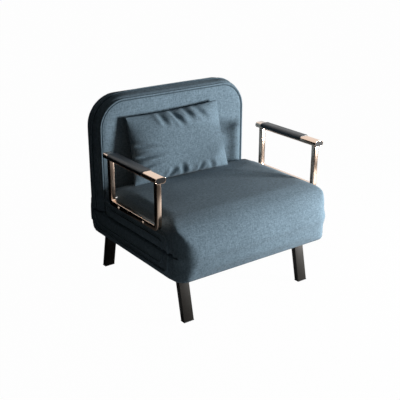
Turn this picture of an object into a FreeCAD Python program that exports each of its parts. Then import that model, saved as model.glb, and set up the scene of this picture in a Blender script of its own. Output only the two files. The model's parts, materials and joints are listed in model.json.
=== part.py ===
import FreeCAD, Part
import math
import os
import re
import Sketcher

# Convertible chair bed. X runs across the chair, the front faces -Y and Z is up.
# The origin is on the floor, midway between the front hinge knuckles and the rear feet.

Vector = FreeCAD.Vector
doc = FreeCAD.newDocument("ChairBed")

# Driving dimensions in millimetres, and degrees where the name ends in angle.
SIZES = {
    # Upholstery
    "cushion_width": 756,
    "bed_height": 300,
    "layer_gap": 0.5,
    "cover_wall": 2.5,
    "piece_gap": 0.3,
    "base_bottom": 194,
    "hinge_y": -352,
    "nose_gap": 0.3,
    "nose_break": 262,
    "nose_undercut": 14,
    "nose_round": 120,
    "nose_low_round": 24,
    "plan_front_round": 80,
    "base_plan_rear_round": 12,
    "base_side_round": 14,
    "base_rear_low_round": 50,
    "seat_crown": 428,
    "seat_side_top": 408,
    "seat_nose_top": 418,
    "seat_front_round": 105,
    "seat_rear_round": 16,
    "seat_side_round": 26,
    "seat_plan_rear_round": 35,
    "crown_front": -100,
    "crown_rear": 60,
    "crown_half_width": 150,
    "seat_back_gap": 2,
    # Backrest
    "back_front": 232,
    "back_thickness": 100,
    "back_top": 784,
    "back_top_round": 130,
    "back_front_round": 30,
    "back_rear_round": 18,
    "back_lift": 1.5,
    "back_tail": 30,
    "recline_setback": 54,
    # Frames and springs
    "base_tube": 25,
    "seat_tube": 20,
    "back_tube": 20,
    "tube_wall": 2,
    "base_frame_inset": 28,
    "frame_front": -300,
    "base_middle_tube": 32,
    "seat_frame_inset": 13,
    "seat_frame_rear": 205,
    "back_frame_low": 322,
    "back_frame_bar": 385,
    "back_frame_top": 730,
    "wire_radius": 1.9,
    "wire_room": 2.4,
    "spring_bend": 14,
    "spring_half": 30,
    "spring_pitch": 120,
    # Armrests
    "arm_gap": 2,
    "strip_width": 20,
    "strip_depth": 22,
    "strip_wall": 1.6,
    "strip_bend": 26,
    "arm_front": -230.5,
    "arm_rear": 128.5,
    "arm_bottom": 382,
    "rail_top": 597,
    "rail_width": 45,
    "rail_height": 24,
    "rail_wall": 1.5,
    "rail_overhang": 12,
    "pad_front": -150,
    "pad_rear": 105,
    "pad_wall": 2.5,
    "pad_skirt": 16,
    "cap_gap": 0.1,
    "cap_length": 13,
    "cap_recess": 1.2,
    "arm_bolt_front": -125.5,
    "arm_bolt_rear": 55.5,
    "arm_bolt_drop": 20,
    "arm_bolt_radius": 4,
    "arm_bolt_grip": 13,
    "arm_bolt_head": 6,
    "arm_bolt_crown": 2.6,
    "spacer_radius": 8,
    "stop_pin_radius": 6,
    "stop_pin_length": 19,
    "stop_pin_height": 405,
    "hole_clearance": 0.2,
    # Legs
    "leg_width": 46.5,
    "leg_depth": 23.5,
    "leg_inset": 30,
    "leg_wall": 2,
    "splay_angle": 12,
    "front_foot": -281.5,
    "rear_foot": 357,
    "glide_height": 3,
    "glide_plug": 15,
    "glide_gap": 0.1,
    "plate_thickness": 3,
    "plate_margin": 12,
    "dust_thickness": 1,
    "dust_front": -296,
    "front_leg_bolt": -197.5,
    "rear_leg_bolt": 274,
    "leg_bolt_spread": 22,
    "leg_bolt_radius": 3,
    "leg_bolt_head": 5.5,
    "leg_bolt_crown": 4,
    "leg_bolt_length": 16,
    # Front hinges
    "hinge_inset": 128,
    "knuckle_radius": 5,
    "knuckle_room": 0.5,
    "hinge_pin_radius": 2.5,
    "running_gap": 0.05,
    "strap_thickness": 2.8,
    "base_strap_half": 12,
    "seat_strap_end": 30,
    "knuckle_gap": 0.4,
    "base_flange_low": 202,
    "seat_flange_top": 396,
    # Recliner
    "bracket_inset": 70.5,
    "bracket_thickness": 5,
    "bracket_radius": 14,
    "bracket_edge": 7,
    "sector_gap": 0.5,
    "recline_pin_radius": 6,
    "recline_head_radius": 8.5,
    "recline_head": 3,
    "recline_head_gap": 0.3,
    "sector_radius": 22,
    "sector_tail": 130,
    "sector_tail_half": 10,
    "notch_radius": 2.6,
    "notch_angle": 134,
    "notch_step_angle": 22.5,
    "pawl_pin_radius": 2.5,
    "pawl_pin_forward": 28,
    "pawl_pin_up": 1.5,
    "pawl_boss": 5,
    "pawl_half": 4,
    "pawl_nose_gap": 0.5,
    "pawl_nose": 6,
    "pocket_front": 247,
    "pocket_inner": 8.5,
    "pocket_gap": 1,
    # Head leg
    "head_leg_x": 200,
    "head_pivot_out": 13,
    "head_tube_radius": 8,
    "head_tube_wall": 1.2,
    "head_bend": 40,
    "head_boss": 9,
    "head_floor_gap": 1,
    "sleeve_wall": 1.5,
    "sleeve_length": 60,
    "sleeve_x": 60,
    "ear_thickness": 3,
    "ear_gap": 1,
    "ear_plate": 2.5,
    "ear_plate_half": 24,
    "ear_plate_rise": 11,
    "head_pin_radius": 3,
    "head_pin_end": 1,
    "post_radius": 6,
    "post_spread": 17.5,
    "bracket_screw_radius": 2.5,
    "bracket_screw_depth": 20,
    "bracket_screw_head": 4.8,
    "bracket_screw_crown": 1.6,
    # Lumbar pillow
    "pillow_middle": -12,
    "pillow_width": 490,
    "pillow_low": 420,
    "pillow_high": 690,
    "pillow_gap": 1.5,
    "pillow_thickness": 88,
    "pillow_lean": 68,
    "pillow_tip": 4,
    "pillow_belly": 66,
}

# Places that follow from the driving dimensions.
PLACES = {
    "half": "cushion_width / 2",
    "base_frame_half": "half - base_frame_inset",
    "seat_frame_half": "half - seat_frame_inset",
    "leg_outer": "base_frame_half - leg_inset",
    "bracket_x": "half - bracket_inset",
    "hinge_x": "half - hinge_inset",
    "arm_bolt_height": "seat_side_top - arm_bolt_drop",
    "nose": "hinge_y + nose_gap",
    "base_top": "bed_height - layer_gap",
    "seat_low": "bed_height + layer_gap",
    "recline_y": "back_front + recline_setback",
    "recline_z": "bed_height - recline_setback",
    "shoulder": "recline_setback - layer_gap",
    "base_rear": "recline_y + shoulder",
    "back_rear": "back_front + back_thickness",
    "back_low": "recline_z + shoulder + back_lift",
    "back_middle": "back_front + back_thickness / 2",
    "seat_rear": "back_front - seat_back_gap",
    "base_frame_low": "base_bottom + cover_wall",
    "base_frame_high": "base_frame_low + base_tube",
    "base_frame_rear": "rear_leg_bolt + base_tube / 2",
    "seat_frame_low": "arm_bolt_height - seat_tube / 2",
    "seat_frame_high": "arm_bolt_height + seat_tube / 2",
    "strip_inner": "half + arm_gap",
    "strip_outer": "strip_inner + strip_width",
    "strip_middle": "strip_inner + strip_width / 2",
    "rail_low": "rail_top - rail_height",
    "rail_middle": "rail_top - rail_height / 2",
    "rail_front": "arm_front - rail_overhang",
    "rail_rear": "arm_rear + rail_overhang",
    "stop_pin_y": "arm_rear - strip_depth / 2",
    "lean": "tan(splay_angle)",
    "plate_high": "base_bottom - dust_thickness",
    "plate_low": "plate_high - plate_thickness",
    "leg_inner": "leg_outer - leg_width",
    "leg_middle": "leg_outer - leg_width / 2",
    "bracket_end": "bracket_x + bracket_thickness",
    "sector_x": "bracket_end + sector_gap",
    "sector_outer": "sector_x + bracket_thickness",
    "back_frame_half": "sector_outer + back_tube",
    "pawl_pin_y": "recline_y - pawl_pin_forward",
    "pawl_pin_z": "recline_z + pawl_pin_up",
    "nose_y": "recline_y + (sector_radius + pawl_nose_gap) * cos(notch_angle)",
    "nose_z": "recline_z + (sector_radius + pawl_nose_gap) * sin(notch_angle)",
    "head_pivot_y": "back_rear + head_pivot_out",
    "head_pivot_z": "back_frame_top - back_tube / 2",
    "sleeve_radius": "head_tube_radius + sleeve_wall",
    "head_bar_z": "head_pivot_z - recline_z + head_pivot_y - recline_y + head_floor_gap + sleeve_radius",
    "ear_inner": "head_tube_radius + ear_gap",
    "ear_outer": "ear_inner + ear_thickness",
    "pillow_rear": "back_front - pillow_gap",
}

sheet = doc.addObject("Spreadsheet::Sheet", "sizes")
for row, (alias, value) in enumerate(SIZES.items(), start=1):
    sheet.set("A%d" % row, alias)
    sheet.set("B%d" % row, str(value))
    sheet.setAlias("B%d" % row, alias)
doc.recompute()


def bound(text):
    """An expression on the sheet, from the words of SIZES and PLACES."""
    def swap(match):
        word = match.group(0)
        if word in PLACES:
            return "(" + bound(PLACES[word]) + ")"
        if word.endswith("_angle"):
            return "(sizes." + word + " * 1 deg)"
        return "sizes." + word if word in SIZES else word
    return re.sub(r"[a-z_]+", swap, str(text))


def number(text):
    """The present value of an expression."""
    found = sheet.evalExpression(bound(text))
    return float(getattr(found, "Value", found))


# Solids whose sizes and places follow the sheet

PLANES = {"x": "YZ_Plane", "y": "XZ_Plane", "z": "XY_Plane"}
ACROSS = {"x": "YZ", "y": "XZ", "z": "XY"}


def sketch_on(body, name, axis, start, end):
    """A sketch across the axis, where the pad starts; the XZ plane faces -Y, so there it is the far end."""
    sketch = body.newObject("Sketcher::SketchObject", name + "_sketch")
    for feature in body.Origin.OriginFeatures:
        if feature.Role == PLANES[axis]:
            sketch.AttachmentSupport = (feature, [""])
    sketch.MapMode = "FlatFace"
    sketch.setExpression("AttachmentOffset.Base.z", bound("-(%s)" % end if axis == "y" else start))
    return sketch


def prism(name, axis, points, start, end):
    """A padded outline along an axis. A point may carry the radius of its corner."""
    body = doc.addObject("PartDesign::Body", name)
    sketch = sketch_on(body, name, axis, start, end)
    corners = [(number(point[0]), number(point[1])) for point in points]
    count = len(corners)
    for index in range(count):
        line = Part.LineSegment(Vector(*corners[index], 0), Vector(*corners[(index + 1) % count], 0))
        sketch.addGeometry(line, False)
    for index in range(count):
        sketch.addConstraint(Sketcher.Constraint("Coincident", index, 2, (index + 1) % count, 1))
    for index, point in enumerate(points):
        for place, kind in enumerate(("DistanceX", "DistanceY")):
            datum = Sketcher.Constraint(kind, -1, 1, index, 1, corners[index][place])
            key = "%s%d" % (("across", "up")[place], index)
            sketch.renameConstraint(sketch.addConstraint(datum), key)
            sketch.setExpression("Constraints." + key, bound(point[place]))
    pad = body.newObject("PartDesign::Pad", name + "_pad")
    pad.Profile = sketch
    pad.setExpression("Length", bound("(%s) - (%s)" % (end, start)))
    doc.recompute()
    rounds = {}
    for index, point in enumerate(points):
        if len(point) > 2:
            rounds.setdefault(point[2], []).append(corners[index])
    for order, (radius, places) in enumerate(rounds.items()):
        round_edges(body, "%s_round%d" % (name, order), radius, edge_through(axis, places))
    return body


def edge_through(axis, places):
    """Tells an edge that runs along the axis through one of the places."""
    first, second = ACROSS[axis]

    def wanted(edge):
        if len(edge.Vertexes) != 2:
            return False
        for place in places:
            off = [abs(getattr(end, first) - place[0]) + abs(getattr(end, second) - place[1])
                   for end in edge.Vertexes]
            if max(off) < 0.01:
                return True
        return False
    return wanted


def round_edges(body, name, radius, wanted):
    base = body.Tip
    edges = ["Edge%d" % order for order, edge in enumerate(base.Shape.Edges, start=1) if wanted(edge)]
    fillet = body.newObject("PartDesign::Fillet", name)
    fillet.Base = (base, edges)
    fillet.setExpression("Radius", bound(radius))
    doc.recompute()


def box(name, left, right, front, rear, low, high):
    solid = doc.addObject("Part::Box", name)
    solid.setExpression("Length", bound("(%s) - (%s)" % (right, left)))
    solid.setExpression("Width", bound("(%s) - (%s)" % (rear, front)))
    solid.setExpression("Height", bound("(%s) - (%s)" % (high, low)))
    for letter, text in zip("xyz", (left, front, low)):
        solid.setExpression("Placement.Base." + letter, bound(text))
    return solid


TURNS = {
    "x": FreeCAD.Rotation(Vector(0, 1, 0), 90),
    "y": FreeCAD.Rotation(Vector(1, 0, 0), -90),
    "z": FreeCAD.Rotation(),
}


def rod(name, axis, centre, start, end, radius):
    """A cylinder along an axis; centre gives its place in the other two directions."""
    solid = doc.addObject("Part::Cylinder", name)
    solid.Placement = FreeCAD.Placement(Vector(), TURNS[axis])
    solid.setExpression("Radius", bound(radius))
    solid.setExpression("Height", bound("(%s) - (%s)" % (end, start)))
    place = list(centre)
    place.insert("xyz".index(axis), start)
    for letter, text in zip("xyz", place):
        solid.setExpression("Placement.Base." + letter, bound(text))
    return solid


def fused(name, shapes):
    result = doc.addObject("Part::MultiFuse", name)
    result.Shapes = shapes
    return result


def shared(name, shapes):
    result = doc.addObject("Part::MultiCommon", name)
    result.Shapes = shapes
    return result


def cut(name, base, tools):
    result = doc.addObject("Part::Cut", name)
    result.Base = base
    result.Tool = tools[0] if len(tools) == 1 else fused(name + "_tools", tools)
    return result


def group(name, shapes):
    """Separate solids in one object."""
    result = doc.addObject("Part::Compound", name)
    result.Links = shapes
    return result


def mirrored(name, source):
    """The same piece on the left of the chair."""
    result = doc.addObject("Part::Mirroring", name)
    result.Source = source
    result.Normal = Vector(1, 0, 0)
    return result


def both_sides(name, shapes):
    right = shapes[0] if len(shapes) == 1 else group(name + "_right", shapes)
    return group(name, [right, mirrored(name + "_left", right)])


def grown(span, by):
    """The span of a box, moved outwards on every side."""
    signs = ("-", "+") * 3
    return ["(%s) %s (%s)" % (text, sign, by) for text, sign in zip(span, signs)]


def fixed(name, shape):
    feature = doc.addObject("Part::Feature", name)
    feature.Shape = shape
    return feature


nodes = {}


def keep(name, feature):
    feature.Label = name
    nodes[name] = feature
    return feature


# Cushion blocks: what the side, plan and front outlines share.
# Each point holds its place, the signs of its way inwards and the radius of its corner.

BASE_SIDE = [
    ("nose", "base_top", 1, -1),
    ("nose", "nose_break", 1, 0, "nose_round"),
    ("nose + nose_undercut", "base_bottom", 1, 1, "nose_low_round"),
    ("base_rear", "base_bottom", -1, 1, "base_rear_low_round"),
    ("base_rear", "base_top", -1, -1, "shoulder"),
]
BASE_PLAN = [
    ("-half", "nose", 1, 1, "plan_front_round"),
    ("half", "nose", -1, 1, "plan_front_round"),
    ("half", "base_rear", -1, -1, "base_plan_rear_round"),
    ("-half", "base_rear", 1, -1, "base_plan_rear_round"),
]
BASE_ACROSS = [
    ("-half", "base_bottom", 1, 1, "base_side_round"),
    ("half", "base_bottom", -1, 1, "base_side_round"),
    ("half", "base_top", -1, -1),
    ("-half", "base_top", 1, -1),
]
SEAT_SIDE = [
    ("nose", "seat_low", 1, 1),
    ("nose", "seat_nose_top", 1, -1, "seat_front_round"),
    ("crown_front", "seat_crown", 0, -1),
    ("crown_rear", "seat_crown", 0, -1),
    ("seat_rear", "seat_side_top", -1, -1, "seat_rear_round"),
    ("seat_rear", "seat_low", -1, 1),
]
SEAT_PLAN = [
    ("-half", "nose", 1, 1, "plan_front_round"),
    ("half", "nose", -1, 1, "plan_front_round"),
    ("half", "seat_rear", -1, -1, "seat_plan_rear_round"),
    ("-half", "seat_rear", 1, -1, "seat_plan_rear_round"),
]
SEAT_ACROSS = [
    ("-half", "seat_low", 1, 1),
    ("half", "seat_low", -1, 1),
    ("half", "seat_side_top", -1, -1, "seat_side_round"),
    ("crown_half_width", "seat_crown", 0, -1),
    ("-crown_half_width", "seat_crown", 0, -1),
    ("-half", "seat_side_top", 1, -1, "seat_side_round"),
]


def inset(points, wall):
    moved = []
    for first, second, inwards, upwards, *radius in points:
        place = ["%s + (%d) * (%s)" % (first, inwards, wall), "%s + (%d) * (%s)" % (second, upwards, wall)]
        moved.append(place + ["%s - (%s)" % (size, wall) for size in radius])
    return moved


def base_block(name, wall):
    return shared(name, [
        prism(name + "_side", "x", inset(BASE_SIDE, wall), "-half", "half"),
        prism(name + "_plan", "z", inset(BASE_PLAN, wall), "base_bottom", "base_top"),
        prism(name + "_across", "y", inset(BASE_ACROSS, wall), "nose", "base_rear"),
    ])


def seat_block(name, wall):
    return shared(name, [
        prism(name + "_side", "x", inset(SEAT_SIDE, wall), "-half", "half"),
        prism(name + "_plan", "z", inset(SEAT_PLAN, wall), "seat_low", "seat_crown"),
        prism(name + "_across", "y", inset(SEAT_ACROSS, wall), "nose", "seat_rear"),
    ])


def back_block(name, wall):
    """A slab with round top corners, hollowed below so that it turns around the rear of the base."""
    low = "recline_z + back_tail + (%s)" % wall
    high = "back_top - (%s)" % wall
    side = "half - (%s)" % wall
    corner = "back_top_round - (%s)" % wall
    front = "back_front + (%s)" % wall
    rear = "back_rear - (%s)" % wall
    outline = [("-(%s)" % side, low), (side, low), (side, high, corner), ("-(%s)" % side, high, corner)]
    slab = prism(name + "_slab", "y", outline, front, rear)
    for order, (place, radius) in enumerate(((front, "back_front_round"), (rear, "back_rear_round"))):
        depth = number(place)
        floor = number(low)

        def rim(edge):
            reach = edge.BoundBox
            flat = abs(reach.YMin - depth) < 0.01 and abs(reach.YMax - depth) < 0.01
            return flat and reach.ZMax > floor + 0.01
        round_edges(slab, "%s_rim%d" % (name, order), "%s - (%s)" % (radius, wall), rim)
    hollow = rod(name + "_hollow", "x", ("recline_y", "recline_z"), "-half - 1", "half + 1",
                 "shoulder + back_lift + (%s)" % wall)
    step = box(name + "_step", "-half - 1", "half + 1", "back_front - 1", "recline_y", "recline_z",
               "back_low + (%s)" % wall)
    return cut(name, slab, [hollow, step])


# Frames of square tube, and the room that the foam leaves for them

def tube_frame(name, spans):
    bars = [box("%s_bar%d" % (name, order), *span) for order, span in enumerate(spans)]
    hollows = [box("%s_hollow%d" % (name, order), *grown(span, "-tube_wall")) for order, span in enumerate(spans)]
    return cut(name, fused(name + "_walls", bars), [group(name + "_hollows", hollows)])


def tube_room(name, spans):
    return fused(name, [box("%s_bar%d" % (name, order), *grown(span, "piece_gap"))
                        for order, span in enumerate(spans)])


def cross_tube(half, centre, tube, low, high):
    return ("-(%s)" % half, half, "%s - %s / 2" % (centre, tube), "%s + %s / 2" % (centre, tube), low, high)


def side_tubes(half, inner, front, rear, low, high):
    return [("-(%s)" % half, "-(%s)" % inner, front, rear, low, high), (inner, half, front, rear, low, high)]


BASE_TUBES = side_tubes("base_frame_half", "base_frame_half - base_tube", "frame_front + base_tube",
                        "base_frame_rear - base_tube", "base_frame_low", "base_frame_high")
for half, place in (("base_frame_half", "frame_front + base_tube / 2"), ("base_frame_half", "rear_leg_bolt"),
                    ("base_frame_half - base_tube", "front_leg_bolt"),
                    ("base_frame_half - base_tube", "base_middle_tube")):
    BASE_TUBES.append(cross_tube(half, place, "base_tube", "base_frame_low", "base_frame_high"))

SEAT_TUBES = side_tubes("seat_frame_half", "seat_frame_half - seat_tube", "frame_front + seat_tube",
                        "seat_frame_rear - seat_tube", "seat_frame_low", "seat_frame_high")
for place in ("frame_front + seat_tube / 2", "seat_frame_rear - seat_tube / 2"):
    SEAT_TUBES.append(cross_tube("seat_frame_half", place, "seat_tube", "seat_frame_low", "seat_frame_high"))

BACK_TUBES = side_tubes("back_frame_half", "sector_outer", "back_middle - back_tube / 2",
                        "back_middle + back_tube / 2", "back_frame_low", "back_frame_top")
for low in ("back_frame_bar", "back_frame_top - back_tube"):
    BACK_TUBES.append(cross_tube("sector_outer", "back_middle", "back_tube", low, low + " + back_tube"))


# Wire and tube along a path with rounded corners

def path_of(points, radius):
    edges = []
    here = points[0]
    for before, corner, after in zip(points, points[1:], points[2:]):
        back = (before - corner).normalize()
        ahead = (after - corner).normalize()
        half_turn = back.getAngle(ahead) / 2
        reach = radius / math.tan(half_turn)
        middle = (back + ahead).normalize() * (radius / math.sin(half_turn) - radius)
        start = corner + back * reach
        if here.distanceToPoint(start) > 0.001:
            edges.append(Part.LineSegment(here, start).toShape())
        here = corner + ahead * reach
        edges.append(Part.Arc(start, corner + middle, here).toShape())
    edges.append(Part.LineSegment(here, points[-1]).toShape())
    return Part.Wire(edges)


def pipe(points, bend, radius):
    rim = Part.Circle(points[0], points[1] - points[0], radius).toShape()
    return path_of(points, bend).makePipeShell([Part.Wire([rim])], True, True)


def springs(name, start, end, turn, places):
    """Serpentine wires side by side, drawn along Y at Z = 0 and then turned and placed."""
    bend = number("spring_bend")
    reach = number("spring_half")
    first = number(start)
    last = number(end)
    turns = int((last - first - 4 * bend) / (2 * bend))
    begin = (first + last) / 2 - turns * bend
    wires = []
    for count in range(-2, 3):
        middle = count * number("spring_pitch")
        points = [Vector(middle, first, 0), Vector(middle, begin, 0)]
        for order in range(turns):
            side = middle + (reach if order % 2 == 0 else -reach)
            points.append(Vector(side, begin + 2 * bend * order, 0))
            points.append(Vector(side, begin + 2 * bend * (order + 1), 0))
        points.append(Vector(middle, begin + 2 * bend * turns, 0))
        points.append(Vector(middle, last, 0))
        wires.append(pipe(points, bend, number("wire_radius")))
    feature = fixed(name, Part.makeCompound(wires))
    feature.Placement = FreeCAD.Placement(Vector(), FreeCAD.Rotation(Vector(1, 0, 0), turn))
    for letter, text in places.items():
        feature.setExpression("Placement.Base." + letter, bound(text))
    return keep(name, feature)


# Front hinges: one knuckle of the base leaf between two of the seat leaf

def leaf(name, side, flange_end, spans, margin, bore):
    """Side is -1 for the base and 1 for the seat; a margin makes the room for the leaf."""
    outer = "bed_height + (%d) * (knuckle_radius + %s)" % (side, margin)
    inner = "bed_height + (%d) * (knuckle_radius - strap_thickness - %s)" % (side, margin)
    end = "%s + (%d) * %s" % (flange_end, side, margin)
    flange_rear = "frame_front + %s" % margin
    flange_front = "frame_front - strap_thickness - %s" % margin
    outline = [("hinge_y", inner), (flange_rear, inner), (flange_rear, end), (flange_front, end),
               (flange_front, outer), ("hinge_y", outer)]
    pieces = []
    for order, (left, right) in enumerate(spans):
        place = "%s_%d" % (name, order)
        left = "%s - %s" % (left, margin)
        right = "%s + %s" % (right, margin)
        strap = prism(place + "_strap", "x", outline, left, right)
        knuckle = rod(place + "_knuckle", "x", ("hinge_y", "bed_height"), left, right, "knuckle_radius + " + margin)
        whole = fused(place, [strap, knuckle])
        if bore:
            hole = rod(place + "_bore", "x", ("hinge_y", "bed_height"), left + " - 1", right + " + 1", bore)
            whole = cut(place + "_bored", whole, [hole])
        pieces.append(whole)
    return both_sides(name, pieces)


BASE_KNUCKLES = [("hinge_x - base_strap_half", "hinge_x + base_strap_half")]
SEAT_KNUCKLES = [
    ("hinge_x - seat_strap_end", "hinge_x - base_strap_half - knuckle_gap"),
    ("hinge_x + base_strap_half + knuckle_gap", "hinge_x + seat_strap_end"),
]

keep("front_hinge_base_leaves", leaf("base_leaves", -1, "base_flange_low", BASE_KNUCKLES, "0", "hinge_pin_radius"))
keep("front_hinge_seat_leaves", leaf("seat_leaves", 1, "seat_flange_top", SEAT_KNUCKLES, "0",
                                     "hinge_pin_radius + running_gap"))
keep("front_hinge_pins", both_sides("hinge_pins", [
    rod("hinge_pin", "x", ("hinge_y", "bed_height"), "hinge_x - seat_strap_end", "hinge_x + seat_strap_end",
        "hinge_pin_radius")]))
base_leaf_room = leaf("base_leaf_room", -1, "base_flange_low", BASE_KNUCKLES, "piece_gap", None)
seat_leaf_room = leaf("seat_leaf_room", 1, "seat_flange_top", SEAT_KNUCKLES, "piece_gap", None)
knuckle_space = both_sides("knuckle_spaces", [
    rod("knuckle_space", "x", ("hinge_y", "bed_height"), "hinge_x - seat_strap_end - knuckle_room",
        "hinge_x + seat_strap_end + knuckle_room", "knuckle_radius + knuckle_room")])


# Recliner: bracket and pawl on the base, toothed sector on the backrest

PIVOT = ("recline_y", "recline_z")
PAWL_PIN = ("pawl_pin_y", "pawl_pin_z")

bracket_plate = prism("bracket_plate", "x", [
    ("pawl_pin_y - bracket_edge", "base_frame_high"),
    ("base_frame_rear", "base_frame_high"),
    ("recline_y + bracket_radius", "recline_z"),
    ("recline_y", "recline_z + bracket_radius - 1"),
    ("pawl_pin_y - bracket_edge", "pawl_pin_z + bracket_edge"),
], "bracket_x", "bracket_end")
bracket_eye = rod("bracket_eye", "x", PIVOT, "bracket_x", "bracket_end", "bracket_radius")
bracket = cut("bracket", fused("bracket_blank", [bracket_plate, bracket_eye]), [
    rod("bracket_bore", "x", PIVOT, "bracket_x - 1", "bracket_end + 1", "recline_pin_radius + running_gap"),
    rod("bracket_pawl_bore", "x", PAWL_PIN, "bracket_x - 1", "bracket_end + 1", "pawl_pin_radius"),
])
keep("recliner_brackets", both_sides("brackets", [bracket]))

sector_disc = rod("sector_disc", "x", PIVOT, "sector_x", "sector_outer", "sector_radius")
sector_bar = box("sector_bar", "sector_x", "sector_outer", "recline_y - sector_tail_half",
                 "recline_y + sector_tail_half", "recline_z", "recline_z + sector_tail")
sector_cuts = [rod("sector_bore", "x", PIVOT, "sector_x - 1", "sector_outer + 1", "recline_pin_radius")]
for order in range(5):
    turn = "notch_angle + %d * notch_step_angle" % order
    place = ("recline_y + sector_radius * cos(%s)" % turn, "recline_z + sector_radius * sin(%s)" % turn)
    sector_cuts.append(rod("notch%d" % order, "x", place, "sector_x - 1", "sector_outer + 1", "notch_radius"))
sector = cut("sector", fused("sector_blank", [sector_disc, sector_bar]), sector_cuts)
keep("recliner_sectors", both_sides("sectors", [sector]))

head_end = "bracket_x - recline_head_gap"
recline_pin = fused("recline_pin", [
    rod("recline_pin_shank", "x", PIVOT, head_end, "sector_outer", "recline_pin_radius"),
    rod("recline_pin_head", "x", PIVOT, head_end + " - recline_head", head_end, "recline_head_radius"),
])
keep("recliner_pins", both_sides("recline_pins", [recline_pin]))

pawl_lever = prism("pawl_lever", "x", [
    ("pawl_pin_y - pawl_half", "pawl_pin_z"),
    ("pawl_pin_y + pawl_half", "pawl_pin_z"),
    ("nose_y - pawl_nose", "nose_z - pawl_nose + 1"),
    ("nose_y", "nose_z"),
    ("nose_y - pawl_nose / 2", "nose_z + pawl_nose / 2"),
    ("pawl_pin_y - pawl_half", "nose_z"),
], "sector_x", "sector_outer")
pawl_disc = rod("pawl_disc", "x", PAWL_PIN, "sector_x", "sector_outer", "pawl_boss")
pawl = cut("pawl", fused("pawl_blank", [pawl_lever, pawl_disc]), [
    rod("pawl_bore", "x", PAWL_PIN, "sector_x - 1", "sector_outer + 1", "pawl_pin_radius + running_gap")])
keep("right_pawl", pawl)
keep("left_pawl", mirrored("pawl_left", pawl))
keep("pawl_pins", both_sides("pawl_pin_pair", [
    rod("pawl_pin", "x", PAWL_PIN, "bracket_x", "sector_outer + sector_gap", "pawl_pin_radius")]))

recliner_room = both_sides("recliner_room", [fused("recliner_space", [
    box("recliner_pocket", "bracket_x - pocket_inner", "sector_outer + pocket_gap", "pocket_front",
        "recline_y + sector_radius + pocket_gap", "base_frame_high", "base_top + 1"),
    box("recliner_slot", "sector_x - piece_gap", "sector_outer + pocket_gap",
        "recline_y + sector_radius", "base_rear + 1",
        "recline_z - sector_tail_half - sector_gap", "base_top + 1"),
])])
tail_room = both_sides("tail_room", [
    box("tail_slot", "sector_x - piece_gap", "sector_outer + piece_gap",
        "recline_y - sector_tail_half - piece_gap", "recline_y + sector_tail_half + piece_gap",
        "recline_z", "recline_z + sector_tail + piece_gap")])


# Base: frame, springs, foam, cover and dust cover

def leg_rods(name, low, high, radius):
    """Rods at the eight leg bolts."""
    rods = []
    for word, place in (("front", "front_leg_bolt"), ("rear", "rear_leg_bolt")):
        for order, sign in enumerate("-+"):
            centre = ("leg_middle %s leg_bolt_spread" % sign, place)
            rods.append(rod("%s_%s%d" % (name, word, order), "z", centre, low, high, radius))
    return both_sides(name, rods)


bolt_holes = leg_rods("bolt_holes", "plate_low - 1", "base_frame_low + tube_wall + 1",
                      "leg_bolt_radius + hole_clearance")
keep("base_frame", cut("base_frame_bored", tube_frame("base_frame_tubes", BASE_TUBES), [bolt_holes]))
springs("base_springs", "frame_front + base_tube / 2", "rear_leg_bolt", 0,
        {"z": "base_frame_high + wire_radius"})

base_room = box("base_room", "-base_frame_half - piece_gap", "base_frame_half + piece_gap",
                "frame_front - piece_gap", "base_frame_rear + piece_gap", "base_bottom",
                "base_frame_high + 2 * wire_room")
base_core = base_block("base_core", "cover_wall + piece_gap")
base_shell = cut("base_shell", base_block("base_outer", "0"), [base_block("base_inner", "cover_wall")])
keep("base_foam", cut("base_foam_cut", base_core, [base_room, base_leaf_room, knuckle_space, recliner_room]))
keep("base_cover", cut("base_cover_cut", base_shell, [base_leaf_room, knuckle_space, recliner_room, bolt_holes]))
keep("dust_cover", cut("dust_cover_cut", box(
    "dust_sheet", "-half + base_side_round + 2", "half - base_side_round - 2", "dust_front",
    "base_rear - base_rear_low_round", "plate_high", "base_bottom"), [bolt_holes]))


# Legs: splayed tubes welded under plates, with glides

def slanted(name, foot, slope, low, high, wall):
    """A bar that leans along Y, within the leg's outline less a wall."""
    outline = []
    for height, edge in ((low, wall), (low, "leg_depth - (%s)" % wall), (high, "leg_depth - (%s)" % wall),
                         (high, wall)):
        outline.append(("%s + (%d) * lean * (%s) + %s" % (foot, slope, height, edge), height))
    return prism(name, "x", outline, "leg_inner + (%s)" % wall, "leg_outer - (%s)" % wall)


glides = []
for word, foot, slope in (("front", "front_foot", 1), ("rear", "rear_foot - leg_depth", -1)):
    tube = slanted(word + "_tube", foot, slope, "glide_height", "plate_low", "0")
    hollow = slanted(word + "_tube_hollow", foot, slope, "glide_height", "plate_low", "leg_wall")
    leg = cut(word + "_leg", tube, [hollow])
    keep("%s_right_leg" % word, leg)
    keep("%s_left_leg" % word, mirrored(word + "_leg_left", leg))
    glides.append(fused(word + "_glide", [
        slanted(word + "_glide_sole", foot, slope, "0", "glide_height", "0"),
        slanted(word + "_glide_plug", foot, slope, "glide_height", "glide_height + glide_plug",
                "leg_wall + glide_gap"),
    ]))
keep("leg_glides", both_sides("glide_set", glides))

plates = []
for word, front, rear in (
        ("front", "front_foot + lean * plate_low", "front_leg_bolt + plate_margin"),
        ("rear", "rear_leg_bolt - plate_margin", "rear_foot - lean * plate_low")):
    plates.append(box(word + "_plate", "leg_inner - plate_margin", "leg_outer + plate_margin", front, rear,
                      "plate_low", "plate_high"))
keep("leg_plates", cut("plates_bored", both_sides("plate_set", plates), [bolt_holes]))
keep("leg_bolts", fused("leg_bolt_set", [
    leg_rods("bolt_shanks", "plate_low", "plate_low + leg_bolt_length", "leg_bolt_radius"),
    leg_rods("bolt_heads", "plate_low - leg_bolt_crown", "plate_low", "leg_bolt_head"),
]))


# Seat section: frame, springs, two foams and cover

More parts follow.
